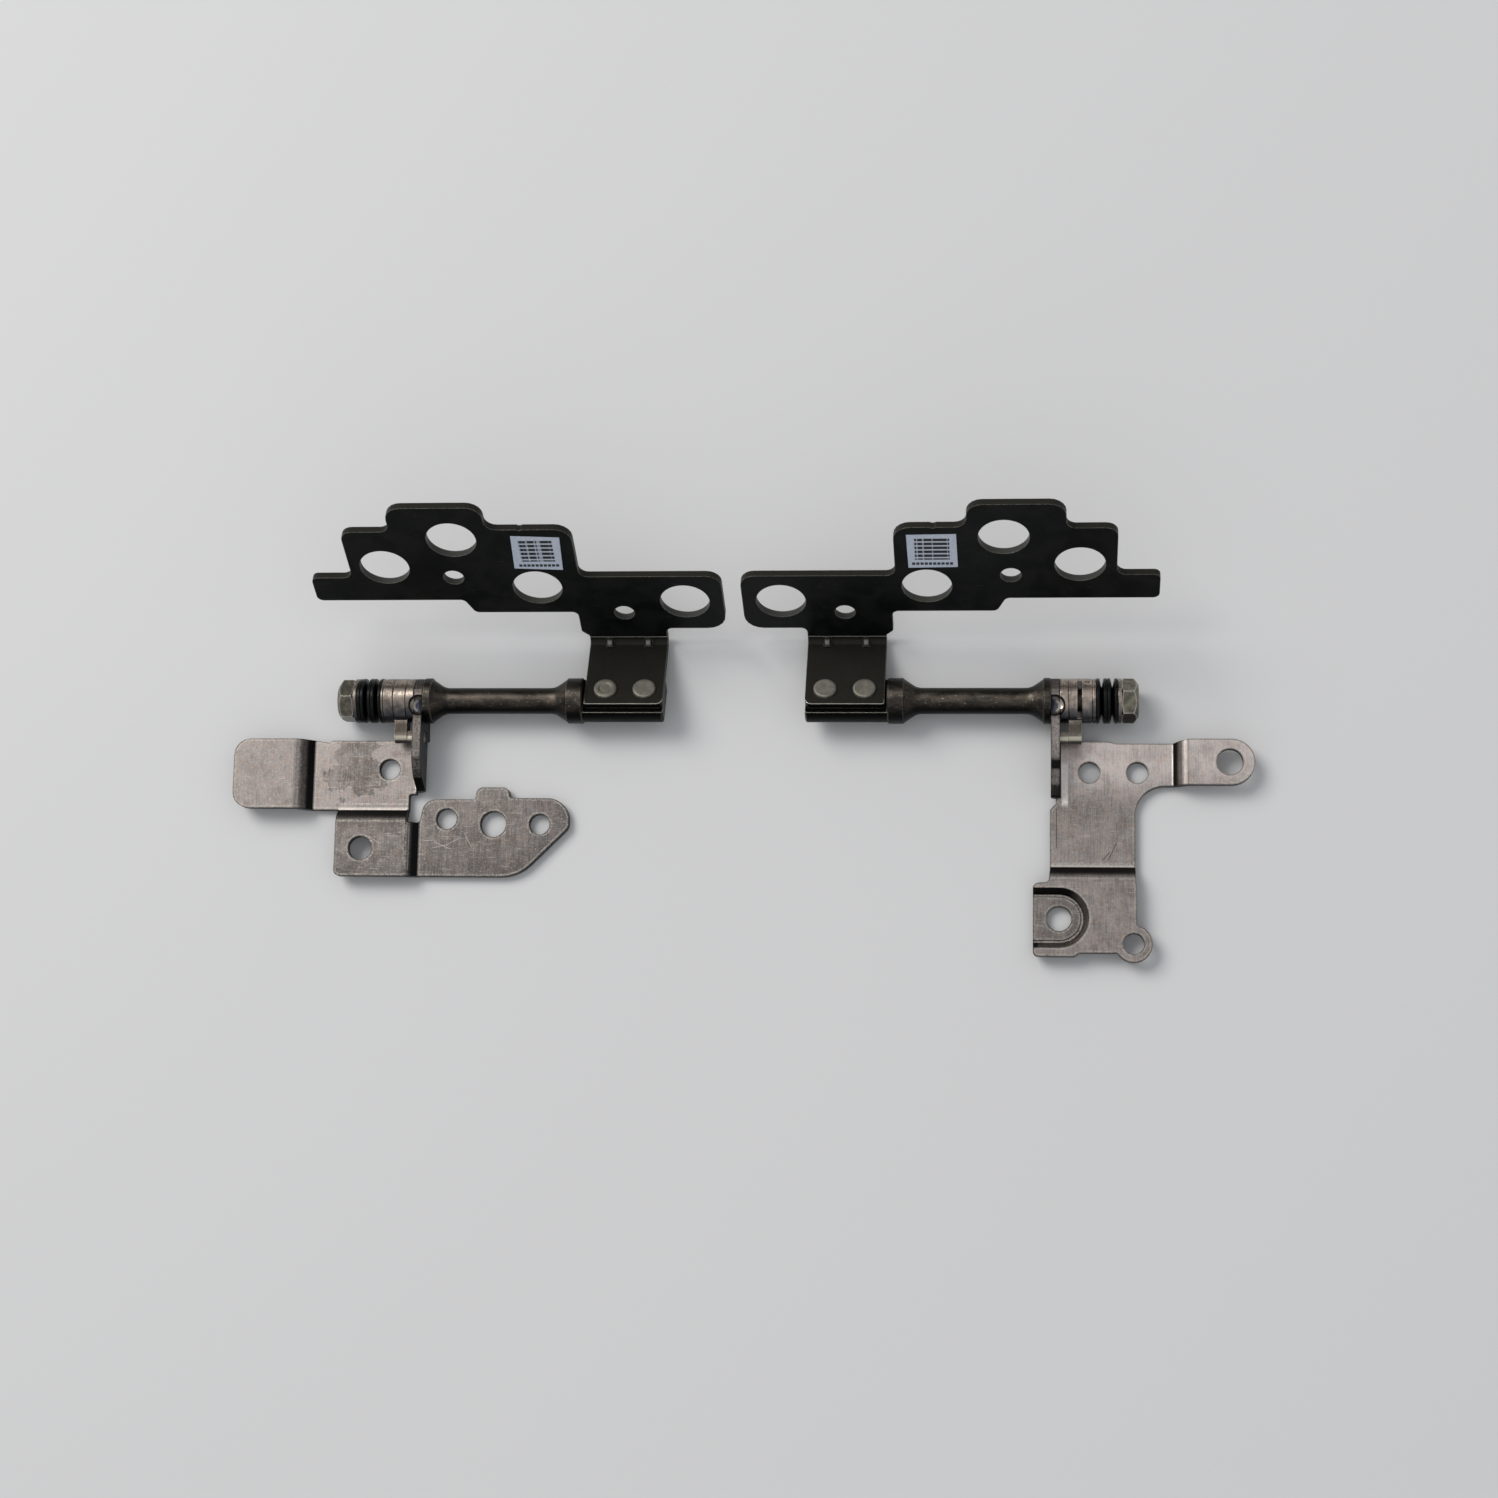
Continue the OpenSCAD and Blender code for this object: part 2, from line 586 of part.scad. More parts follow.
// Sheet of the right base: main plate with its stem, raised round tab, front plate with a sunk pad
module right_plates() {
    over = base_t + right_tab_rise + front_rise;
    in_x = ear_out + bend_r;
    tab_r = right_tab_w / 2;
    fillet = 4;
    relief = 0.8;
    dip = 0.25;
    under = 3;
    side_x = stem_out_x + 0.15;
    join_y = front_y + 0.4;
    step_at = front_in_x + 5.6;
    front_step = 0.5;
    pad_r = sunk_r + sunk_wall + 0.3;
    groove_z = base_t - groove_h;
    wall_up = 1 + (fuse + groove_h) / front_rise;
    ring_from = 180 - asin((front_edge_y - front_step - ring_at.y) / ring_r);
    ring_to = -acos((side_x - ring_at.x) / ring_r);
    intersection() {
        sheet([[in_x, back_y], [stem_out_x - 3.5, back_y, 0.6], [stem_out_x - 2.5, back_y + dip, 0.6],
               [right_tab_x, back_y + dip, 0.8], [right_tab_x + 2, right_tab_back_y, 0.8],
               each arc([right_reach - tab_r, right_tab_y], tab_r, -90, 90, arc_steps),
               each arc([stem_out_x + fillet, right_tab_y + tab_r + fillet], fillet, -90, -180,
                        arc_steps / 2),
               [stem_out_x, join_y], [stem_in_x, join_y], [stem_in_x, right_ear_end + 2 * relief, 0.4],
               [stem_in_x + relief, right_ear_end + relief, 0.3], [stem_in_x + relief, right_ear_end],
               [in_x, right_ear_end]], over);
        swept_y(stepped(stem_in_x - under, right_tab_x, right_tab_rise, right_reach + under, base_t),
                0, front_y + 1);
    }
    difference() {
        union() {
            intersection() {
                sheet([[stem_in_x, front_y - 1], [stem_in_x, join_y], [stem_in_x - 0.2, front_y + 2.2, 0.5],
                       [front_in_x, front_y + 2.35, 0.8], [front_in_x, front_edge_y, 0.7],
                       [step_at, front_edge_y, 0.5], [step_at + 0.6, front_edge_y - front_step, 0.5],
                       each arc(ring_at, ring_r, ring_from, ring_to, arc_steps),
                       [side_x, front_y + 3], [stem_out_x, front_y + 2], [stem_out_x, front_y - 1]], over);
                swept_x(stepped(front_y - under, front_y, front_rise, ring_at.y + 2 * ring_r, base_t),
                        0, right_reach);
            }
            sunk_pad(0, base_t + front_rise, pad_r, pad_r);
        }
        difference() {
            sunk_pad(groove_z, front_rise + groove_h + fuse, sunk_r, sunk_r + sunk_wall * wall_up);
            sunk_pad(groove_z - fuse, groove_h + fuse, sunk_r - groove_w / 2, sunk_r - groove_w);
        }
    }
}

// A pad that is round at its outer end and open at the plate's inner side, narrower at its foot
module sunk_pad(z0, h, r0, r1) {
    intersection() {
        translate([sunk_at.x, sunk_at.y, z0]) cylinder(h = h, r1 = r0, r2 = r1, $fn = round_fn);
        translate([front_in_x, 0, z0]) cube([2 * (sunk_at.x - front_in_x) + r1, 2 * sunk_at.y, h]);
    }
    swept_x([[sunk_at.y - r0, z0], [sunk_at.y + r0, z0], [sunk_at.y + r1, z0 + h], [sunk_at.y - r1, z0 + h]],
            front_in_x, sunk_at.x);
}

// Upright ear with a round head over the shaft, folded up from the plate's inner edge
module ear(end, slope_l, slope_z, heel_z) {
    fold_z = base_t + bend_r;
    fold_x = ear_out + bend_r;
    difference() {
        union() {
            swept_x(rounded([each arc([0, axis_z], ear_r, -90, -270, arc_steps), [ear_flat_y, ear_top, 0.8],
                             [ear_flat_y + slope_l, slope_z, 0.6], [end - 1.5, heel_z, 0.8],
                             [end, fold_z + 0.2, 0.3], [end, fold_z], [back_y, fold_z], [back_y, 0.05]]),
                    ear_x, ear_out);
            intersection() {
                translate([fold_x, back_y, fold_z]) rotate([-90, 0, 0]) difference() {
                    cylinder(h = end - back_y, r = fold_z, $fn = round_fn);
                    translate([0, 0, -fuse]) cylinder(h = end, r = bend_r, $fn = round_fn);
                }
                translate([ear_x, 0, 0]) cube([fold_x - ear_x, end + 1, fold_z]);
            }
        }
        rod(ear_x - fuse, ear_out + fuse, bore_d);
        tang_slot();
        punch_mark();
    }
}

// Slot in the ear for the cam's tang, with the running clearance round it
module tang_slot() translate([ear_x - fuse, tang_y - run_gap, axis_z - tang_w / 2 - run_gap])
    cube([base_t + 2 * fuse, tang_l + 2 * run_gap, tang_w + 2 * run_gap]);

// Staking dent across the top of the ear and the spacer washer, struck twice
module punch_mark() {
    dent_y = 1.1;
    dent(ear_x + base_t / 2, dent_y, 1.9, 0.65);
    dent(ear_x - 0.15, dent_y, 1.2, 0.85);
}

module dent(x, y, r, h) translate([x, y, ear_top - h + r]) sphere(r = r, $fn = round_fn);

// Round holes through a base bracket
module base_holes(holes) for (hole = holes) translate([hole[0], hole[1], -1])
    cylinder(h = 4 * base_t + 2, d = hole[2], $fn = round_fn);

module left_base_bracket() color(bracket_gray) front() difference() {
    union() {
        left_plates();
        ear(left_ear_end, left_slope_l, left_slope_z, left_heel_z);
    }
    base_holes(left_holes);
}

module right_base_bracket() color(bracket_gray) front() difference() {
    union() {
        right_plates();
        ear(right_ear_end, right_slope_l, right_slope_z, right_heel_z);
    }
    base_holes(right_holes);
}

module spacer_washer() color(washer_silver) front() difference() {
    disc(ear_out, cam_x, washer_d, washer_edge);
    rod(ear_out - fuse, cam_x + fuse, bore_d);
    punch_mark();
}

// Bar in front of the axis, from y0 to the leg's outer end, whose end is rounded
module leg(x0, x1, y0, w, r) swept_x(rounded([[y0, axis_z - w / 2], [leg_y, axis_z - w / 2, r],
                                              [leg_y, axis_z + w / 2, r], [y0, axis_z + w / 2]]), x0, x1);

// Fixed cam with its stop recess, and a leg whose tang enters the ear
module stop_cam(lobe_at) color(washer_silver) difference() {
    tang_short = 0.1;
    front() {
        difference() {
            union() {
                disc(cam_x, rotor_x, washer_d, washer_edge);
                leg(cam_x, rotor_x, 0, leg_w, leg_r);
            }
            rod(cam_x - fuse, rotor_x + fuse, bore_d);
        }
        leg(ear_x + tang_short, cam_x + fuse, tang_y, tang_w, tang_w * 0.4);
    }
    intersection() {
        wedge(rotor_x - recess_h, rotor_x + fuse, lobe_at - close_travel - stop_play,
              lobe_at + lobe_a + open_travel + stop_play);
        rod(rotor_x - recess_h, rotor_x + fuse, washer_d + fuse);
    }
}

// Stop washer that turns with the shaft: its lobe runs in the cam's recess
module stop_washer(lobe_at) color(washer_silver) {
    lobe_gap = 0.05;
    difference() {
        union() {
            disc(rotor_x, rotor_x + rotor_t, washer_d, washer_edge);
            intersection() {
                wedge(rotor_x - recess_h + lobe_gap, rotor_x + fuse, lobe_at, lobe_at + lobe_a);
                difference() {
                    rod(rotor_x - recess_h, rotor_x + fuse, washer_d);
                    rod(rotor_x - recess_h - fuse, rotor_x, bore_d);
                }
            }
        }
        keyed(rotor_x - fuse, rotor_x + rotor_t + fuse, key_gap);
        index_notch();
    }
}

// Small flat on the stop washer's rim
module index_notch() {
    notch_a = 45;
    notch = [0.8, 0.7, 0.15];
    translate([rotor_x + rotor_t / 2, 0, axis_z]) rotate([-notch_a, 0, 0])
        translate([-notch.x / 2, -notch.y / 2, washer_d / 2 - notch.z]) cube([notch.x, notch.y, 1]);
}

module thin_washer(left) color(washer_silver) washer(thin_x, thin_t(left));
module backing_washer() color(spring_black) washer(backing_x(true), left_backing_t);
module end_washer(left) color(washer_silver) washer(end_x(left), end_t);

// Disc springs lie rim to rim and eye to eye in turn
module disc_spring(left, i) color(spring_black) {
    hole_r = journal_d / 2 + 0.15;
    rim_r = spring_d / 2;
    rim_edge = spring_t / 5;
    out = i % 2 == 0;
    rim = out ? 0 : spring_cone;
    eye = out ? spring_cone : 0;
    translate([spring_x(left, i), 0, axis_z]) rotate([0, 90, 0]) rotate_extrude($fn = round_fn)
        polygon([[hole_r, eye], [rim_r - rim_edge, rim + (eye - rim) * rim_edge / (rim_r - hole_r)],
                 [rim_r, rim + rim_edge], [rim_r, rim + spring_t - rim_edge],
                 [rim_r - rim_edge, rim + spring_t + (eye - rim) * rim_edge / (rim_r - hole_r)],
                 [hole_r, eye + spring_t]]);
}

// Six-sided nut, its corners chamfered at both ends
module nut(left) color(nut_gray) {
    corner_r = nut_w / 2 / cos(30);
    end_r = nut_w / 2 - 0.4;
    flat_r = nut_w / 2 + 0.05;
    over_r = corner_r + 0.02;
    seat_chamfer = 0.2;
    turn = left ? left_nut_turn : right_nut_turn;
    bore = journal_d + 2 * key_gap;
    difference() {
        translate([nut_x(left), 0, axis_z]) rotate([0, 90, 0]) intersection() {
            rotate([0, 0, turn]) cylinder(h = nut_h, r = corner_r, $fn = 6);
            rotate_extrude($fn = round_fn)
                polygon([[0, 0], [flat_r, 0], [over_r, seat_chamfer], [over_r, nut_h - nut_chamfer],
                         [end_r, nut_h], [0, nut_h]]);
        }
        rod(nut_x(left) - fuse, nut_x(left) + nut_h + fuse, bore);
        translate([nut_x(left) + nut_h - nut_mouth, 0, axis_z]) rotate([0, 90, 0])
            cylinder(h = 2 * nut_mouth, d1 = bore, d2 = bore + 4 * nut_mouth, $fn = round_fn);
    }
}

// Turned shaft: milled tongue, collar, thin stretch, flange, journal and keyed end
module hinge_shaft(left) color(shaft_brown) {
    collar_end = collar_x + collar_w;
    collar_r = collar_d / 2;
    edge = shaft_edge;
    difference() {
        union() {
            intersection() {
                disc(tongue_x, collar_x + 2 * edge, tongue_d, edge);
                tab_frame() translate([tongue_x, -tongue_d, -tongue_t / 2])
                    cube([collar_x + edge - tongue_x, 2 * tongue_d, tongue_t]);
            }
            translate([0, 0, axis_z]) rotate([0, 90, 0]) rotate_extrude($fn = round_fn)
                polygon(rounded([[0, collar_x], [collar_r - edge, collar_x], [collar_r, collar_x + edge],
                                 [collar_r, collar_end - edge], [collar_r - edge, collar_end],
                                 [shaft_d / 2, collar_end + taper_l, taper_r],
                                 [shaft_d / 2, flange_x - taper_l, taper_r],
                                 [collar_r - edge, flange_x], [collar_r - edge / 2, flange_x],
                                 [collar_r, flange_x + edge / 2], [collar_r, ear_x - edge / 2],
                                 [collar_r - edge / 2, ear_x], [journal_d / 2, ear_x],
                                 [journal_d / 2, rotor_x], [0, rotor_x]]));
            intersection() {
                keyed(rotor_x - fuse, shaft_end_x(left), 0);
                disc(rotor_x - 2 * fuse, shaft_end_x(left), journal_d, edge);
            }
        }
        for (i = [0, 1]) at_rivet(i) translate([0, 0, -tongue_t])
            cylinder(h = 2 * tongue_t, d = rivet_d + 2 * key_gap, $fn = round_fn);
    }
}

module at_rivet(i) tab_frame() translate([tongue_x + rivet_in + i * rivet_pitch, rivet_q, 0]) children();

// Rivet through the tab and the tongue: flat head above, dished on one of them, upset head below
module tab_rivet(i, dished = false) color(nut_gray) at_rivet(i) rotate_extrude($fn = round_fn) {
    r = rivet_head_d / 2;
    h = rivet_head_h;
    edge = 0.15;
    rim_w = 0.2;
    foot_r = r - edge;
    foot = -tab_under;
    top = tab_over + h;
    face = dished ? [[0, top - dish_h], [dish_d / 2 - rim_w, top - dish_h], [dish_d / 2, top]] : [[0, top]];
    polygon([each face, [r - 2 * edge, top], [r - edge / 2, top - edge / 2], [r, top - 1.5 * edge],
             [r, tab_over], [rivet_d / 2, tab_over], [rivet_d / 2, foot], [foot_r, foot],
             [foot_r, foot - h * 0.5], [foot_r * 0.8, foot - h], [0, foot - h]]);
}

// Outline of the lid plate, across and up from the shaft axis
function lid_outline(left) =
    let (tab_edge = tab_over + lid_bend_r, neck_x = tab_out + neck_step, shoulder = shoulder_x(left),
         nick_x = shoulder + (left ? left_nick_in : right_nick_in), nick_w = 0.8,
         outer_top = edge_top2 - shoulder_drop, low_r = 2.6, top_r = 2.3, end_r = 2, notch_r = 1.3,
         small_r = 0.9)
    [[tab_in, tab_edge], [tab_in, edge_low, small_r], [plate_in, edge_low, low_r],
     [plate_in, edge_top1, end_r],
     [shoulder, edge_top1, notch_r], [shoulder, edge_top2, top_r], [nick_x - nick_w / 2, edge_top2],
     [nick_x - nick_w / 4, edge_top2 - nick_h], [nick_x + nick_w / 4, edge_top2 - nick_h],
     [nick_x + nick_w / 2, edge_top2], [crown_in_x, edge_top2, 1.6],
     [crown_in_x, edge_top3, top_r], [crown_out_x, edge_top3, top_r], [crown_out_x, outer_top, notch_r],
     [end_in_x, outer_top, 1.6], [end_in_x, edge_top1, notch_r], [plate_out, edge_top1, small_r],
     [plate_out, edge_out, small_r], [step_x + 0.6, edge_out, small_r], [step_x - 0.6, edge_mid, small_r],
     [neck_x, edge_mid, small_r], [neck_x, tab_edge + 1.5, 0.5], [tab_out, tab_edge + 0.5, 0.5],
     [tab_out, tab_edge]];

// Lid bracket: a tab over the shaft's tongue, bent square into a stepped plate
module lid_bracket(left) color(lid_black) difference() {
    tab_frame() {
        fold_q = plate_q - lid_bend_r;
        tab_w = tab_out - tab_in;
        bend_out = lid_bend_r + lid_t;
        translate([0, 0, tab_under]) sheet([[tab_in, -tab_end, 0.9], [tab_in, fold_q], [tab_out, fold_q],
                                            [tab_out, -tab_end, 0.3]], lid_t);
        intersection() {
            translate([tab_in, fold_q, tab_over + lid_bend_r]) rotate([0, 90, 0]) difference() {
                cylinder(h = tab_w, r = bend_out, $fn = round_fn);
                translate([0, 0, -fuse]) cylinder(h = tab_w + 2 * fuse, r = lid_bend_r, $fn = round_fn);
            }
            translate([tab_in, fold_q, tab_under]) cube([tab_w, bend_out, bend_out]);
        }
        translate([0, plate_back_q, 0]) rotate([90, 0, 0]) sheet(lid_outline(left), lid_t);
        for (i = [0, 1]) gusset(tongue_x + rivet_in + i * rivet_pitch);
    }
    for (p = lid_holes) plate_hole(p, lid_hole_d);
    for (p = lid_pins) plate_hole(p, lid_pin_d);
    for (i = [0, 1]) at_rivet(i) cylinder(h = 2 * tab_over, d = rivet_d + 2 * key_gap, $fn = round_fn);
}

module plate_hole(p, d) tab_frame() translate([p.x, plate_back_q + lid_t, p.y]) rotate([90, 0, 0])
    cylinder(h = 3 * lid_t, d = d, $fn = round_fn);

// Bead pressed across the inside of the bend, which stiffens it
module gusset(x) {
    sink = 0.1;
    run = lid_bend_r * sqrt(2) + 2 * sink;
    translate([x, plate_q - lid_bend_r / 2, tab_over + lid_bend_r / 2]) rotate([-45, 0, 0])
        translate([0, 0, -run / 2]) cylinder(h = run, d = gusset_w, $fn = round_fn);
}

module label(left) color(label_white) tab_frame()
    translate([shoulder_x(left) + label_in, plate_q, edge_top2 - label_down]) rotate([90, 0, 0])
        rotate([0, 0, left ? left_label_tilt : right_label_tilt])
            linear_extrude(label_t) square(label_w, center = true);

// Left hinge
on_left() left_base_bracket();
on_left() spacer_washer();  // left_spacer_washer
on_left() stop_cam(left_lobe_at);  // left_stop_cam
on_left() hinge_shaft(true);  // left_hinge_shaft
on_left() lid_bracket(true);  // left_lid_bracket
on_left() tab_rivet(0);  // left_tab_rivet_1
on_left() tab_rivet(1, true);  // left_tab_rivet_2
on_left() stop_washer(left_lobe_at);  // left_stop_washer
on_left() thin_washer(true);  // left_thin_washer
on_left() disc_spring(true, 0);  // left_disc_spring_1
on_left() disc_spring(true, 1);  // left_disc_spring_2
on_left() disc_spring(true, 2);  // left_disc_spring_3
on_left() disc_spring(true, 3);  // left_disc_spring_4
on_left() backing_washer();  // left_backing_washer
on_left() end_washer(true);  // left_end_washer
on_left() nut(true);  // left_nut
on_left() label(true);  // left_label

// Right hinge
on_right() right_base_bracket();
on_right() spacer_washer();  // right_spacer_washer
on_right() stop_cam(right_lobe_at);  // right_stop_cam
on_right() hinge_shaft(false);  // right_hinge_shaft
on_right() lid_bracket(false);  // right_lid_bracket
on_right() tab_rivet(0);  // right_tab_rivet_1
on_right() tab_rivet(1);  // right_tab_rivet_2
on_right() stop_washer(right_lobe_at);  // right_stop_washer
on_right() thin_washer(false);  // right_thin_washer
on_right() disc_spring(false, 0);  // right_disc_spring_1
on_right() disc_spring(false, 1);  // right_disc_spring_2
on_right() disc_spring(false, 2);  // right_disc_spring_3
on_right() disc_spring(false, 3);  // right_disc_spring_4
on_right() end_washer(false);  // right_end_washer
on_right() nut(false);  // right_nut
on_right() label(false);  // right_label
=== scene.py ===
import math

import bpy
from mathutils import Matrix, Vector

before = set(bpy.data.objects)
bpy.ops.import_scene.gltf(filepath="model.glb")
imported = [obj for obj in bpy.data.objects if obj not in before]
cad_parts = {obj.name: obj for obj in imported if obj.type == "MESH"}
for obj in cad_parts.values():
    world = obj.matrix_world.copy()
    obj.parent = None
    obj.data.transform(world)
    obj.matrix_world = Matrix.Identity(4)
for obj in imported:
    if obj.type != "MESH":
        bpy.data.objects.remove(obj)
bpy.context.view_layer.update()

MM = 0.001
X_AXIS = (1, 0, 0)
Y_AXIS = (0, 1, 0)
Z_AXIS = (0, 0, 1)

# Camera, as fitted to the photograph: pixels of its 1498 x 1498 frame, and millimetres of the part's frame
IMAGE_PX = 1498
FOCAL_PX = 2850
CENTRE_PX = 749
NADIR_PX = (1035, 1230)
LEVEL_ROW_PX = 701
CAMERA_MM = (41.06, -64.725, 387.7)
SENSOR_MM = 36
CLIP_NEAR = 0.01
CLIP_FAR = 20

# Floor and light, in metres and watts
FLOOR_COLOR = (0.6, 0.6, 0.602, 1)
FLOOR_SIZE = 6.0
ZENITH = (0.64, 0.655, 0.68, 1)
HORIZON = (0.36, 0.36, 0.37, 1)
KEY_PLACE = (-0.9, 0.75, 1.2)
KEY_SIZE = 0.9
KEY_POWER = 19.4
KEY_COLOR = (1.0, 0.985, 0.96)

# From here on, places are in millimetres, and a pair is where a band or a soft border starts and ends
# The shaft axis, the middle between the two hinges, and where each shaft's tongue ends, from that middle
AXIS = (0, 6.49, 3.2)
MIDDLE = (-0.2, 0, 0)
TONGUE_END = (20.85, 20.95)

# Lid brackets: the tab dips behind the axis, q is counted from the axis along the tab and h square to it
TAB_DIP = math.radians(27)
ALONG_TAB = (0, math.cos(TAB_DIP), -math.sin(TAB_DIP))
OFF_TAB = (0, math.sin(TAB_DIP), math.cos(TAB_DIP))
TAB_TOP_H = 2.1
TAB_END_H = (TAB_TOP_H + 0.7, TAB_TOP_H + 0.9)
TAB_FRONT_Q = (-1.9, -1.7)
TAB_FRONT_EDGE_Q = (-1.4, -1.2)
PLATE_Q = 8.9
PLATE_FACE_Q = (PLATE_Q - 0.05, PLATE_Q + 0.02)
CREASE_Q = (PLATE_Q - 0.1, PLATE_Q)
CREASE_H = (TAB_TOP_H + 0.95, TAB_TOP_H + 1.05)
GUSSETS_X = (-12.7, -18.1, 12.3, 17.7)
GUSSET_HALF_WIDTH = 0.15
GUSSET_H = (TAB_TOP_H + 0.3, TAB_TOP_H + 0.8)
GUSSET_Q = (PLATE_Q - 0.9, PLATE_Q + 0.1)

# Holes of each lid plate: distance from the middle, h, and radius, with the reach of their walls past it
LID_HOLES = ((6.6, 10.8, 3.4), (26.6, 13.9, 3.4), (37.0, 23.9, 3.4), (47.1, 18.3, 3.4),
             (15.25, 8.4, 1.425), (37.9, 16.1, 1.425))
HOLE_WALL = (0.05, 0.1)

# Labels: the middle of each one, and the bars printed on it, across and up from there
LABELS_MIDDLE = (0.7, 0, 0)
LABEL_X = 26.6
LABEL_H = 21.2
PRINT_X = (-2.3, 2.3)
PRINT_H = (-1.7, 2.6)
ROW_START = 0.9
ROW_HALF_STEP = 0.4
ROW_BAR = (0.25, 0.28)
LINE_X = (-2.8, 2.8)
LINE_H = (-2.75, -2.3)
DASH_HALF_STEP = 0.28
DASH = (0.05, 0.08)

# Stop cams: their legs, from the stack to the rounded end in front, then the band of painted shade next to
# the stack and the painted highlight line on the end
LEG_Y = (3.2, 3.0)
LEG_SHADE_Y = (2.1, 3.2)
LEG_HIGHLIGHT_Y = (0.95, 1.3)

# Punch mark over each ear: its middle, the height that it starts at, and its parts outwards from the middle:
# the hollow with a painted reflection, a painted highlight and a rim of painted shade
PUNCH_X = 43.75
PUNCH = (0, 5.35, 0)
PUNCH_Z = (5.0, 5.2)
PUNCH_HOLLOW = (0.85, 1.0)
PUNCH_HIGHLIGHT = (0.6, 0.85)
PUNCH_RIM_SHADE = (1.3, 1.45)

# Painted shade: surfaces that face this way, down and forward, are darkened
SHADED_FACING = (0, -0.93, -0.37)

# Base brackets: regions of the bare steel
BRACKETS_PART_X = (-1, 1)
LEFT_MAIN_END_X = (-44.8, -44.6)
LEFT_MAIN_FRONT_Y = (-9.3, -8.9)
LEFT_TAB_X = (-60, -62)
LEFT_PAD_Y = (-9, -8.8)
LEFT_PAD_END_X = (-45, -44.8)
LEFT_PAD_JOGGLE_X = (-55.8, -45)
LEFT_EAR_X = (-45, -44.9)
EAR_FOOT_Z = (1.3, 1.5)
STAIN_X = (-56.8, -50.5)
STAIN_Y = (-6.6, 2)
WING_X = (-32, -24)
LEFT_FRONT_Y = (-14, -18)
PAD_SHADE_Y = (-11.4, -9.2)
PAD_SHADE_FADES_Y = (-11.4, -10)
RIGHT_TONE_Y = (-9, -1)
RIGHT_MAIN_Y = (-9, -2)
RIGHT_STEM_Y = (-9, -12)
RIGHT_FRONT_Y = (-18, -17.8)
RIGHT_FRONT_Z = (1.3, 1.6)
FRONT_SHADE_Y = (-18.6, -16.4)
FRONT_SHADE_FADES_Y = (-18.6, -17.2)
SUNK_PAD_X = (41.4, 51.5)
SUNK_PAD_Y = (-27.5, -18.4)
SUNK_PAD_SLOPE_Z = (0.6, 1.4)
RIGHT_TAB_Y = (-6, -5)
RIGHT_TAB_FOOT_X = (59.9, 60.15)
RIGHT_TAB_CREST_X = (60.6, 61.7)
RIGHT_TAB_SLOPE_Z = (1.5, 2.3)
JOGGLE_CREST_Z = (1.9, 2.4)
EAR_SIDE = (43.2, 44.6)
EAR_TOP_Z = (1.5, 1.8)
EAR_Y = (-6.2, 3.6)
EYE_Z = (3.7, 4.6)
EYE_Y = (3.4, 3.8)
FOLD_X = (44.7, 45.3)
FOLD_Y = (-7.2, -2.2)

# Painted highlight lines where the sheet starts to bend: each one's two sides and its softness
LEFT_MAIN_BENDS_Y = ((-8.45, -8.3, 0.15), (-7.8, -7.7, 0.12))
LEFT_TAB_BEND_X = (-61.5, -61.35, 0.12)
LEFT_PAD_BEND_X = (-46.0, -45.8, 0.12)
RIGHT_FRONT_BENDS_Y = ((-15.98, -15.85, 0.12), (-15.7, -15.5, 0.15), (-17.8, -17.65, 0.12))
RIGHT_TAB_BEND_X = (61.4, 61.5, 0.12)

# Single straight marks on the base brackets: start and end in X and Y, and whether it is dark
MARKS = (((50.9, -15.0), (51.9, -12.9), True), ((50.2, -15.0), (50.9, -14.2), True),
         ((-42.4, -13.9), (-40.2, -13.4), False), ((-40.2, -13.4), (-38.6, -12.5), False),
         ((-42.0, -13.1), (-39.9, -14.0), False), ((-37.6, -12.4), (-36.9, -13.6), False),
         ((-51.9, -12.9), (-50.5, -13.2), False), ((-50.9, -12.6), (-49.6, -13.4), False),
         ((44.6, -2.4), (46.8, -3.8), False), ((45.0, -0.6), (47.8, -2.0), False),
         ((44.9, -3.3), (46.6, -4.6), False), ((45.4, -1.6), (48.2, -3.0), False),
         ((46.6, -1.2), (49.4, -2.2), False),
         ((43.9, -8.2), (43.85, -13.4), True), ((-45.5, -11.0), (-45.5, -17.0), False))


def camera():
    """Camera over the base brackets, looking down at the angle of the photograph."""
    nadir = [(pixel - CENTRE_PX) / FOCAL_PX for pixel in NADIR_PX]
    down = Vector((*nadir, 1)).normalized()
    row = (LEVEL_ROW_PX - CENTRE_PX) / FOCAL_PX
    right = Vector(X_AXIS)
    right.z = -down.x / (down.z + row * down.y)
    right.y = row * right.z
    right.normalize()
    back = (-down).cross(right)
    world_to_camera = Matrix((right, back, -down)).transposed()
    data = bpy.data.cameras.new("camera")
    data.sensor_width = SENSOR_MM
    data.lens = FOCAL_PX / IMAGE_PX * SENSOR_MM
    data.clip_start = CLIP_NEAR
    data.clip_end = CLIP_FAR
    obj = bpy.data.objects.new("camera", data)
    bpy.context.scene.collection.objects.link(obj)
    flip = Matrix.Diagonal((1, -1, -1))
    turn = (flip @ world_to_camera).transposed().to_4x4()
    obj.matrix_world = Matrix.Translation(Vector(CAMERA_MM) * MM) @ turn
    bpy.context.scene.camera = obj


def area_light(name, place, size, power, color):
    """Square soft light that faces the middle of the part."""
    data = bpy.data.lights.new(name, "AREA")
    data.size = size
    data.energy = power
    data.color = color
    obj = bpy.data.objects.new(name, data)
    obj.location = place
    obj.rotation_euler = Vector(place).to_track_quat("Z", "Y").to_euler()
    bpy.context.scene.collection.objects.link(obj)


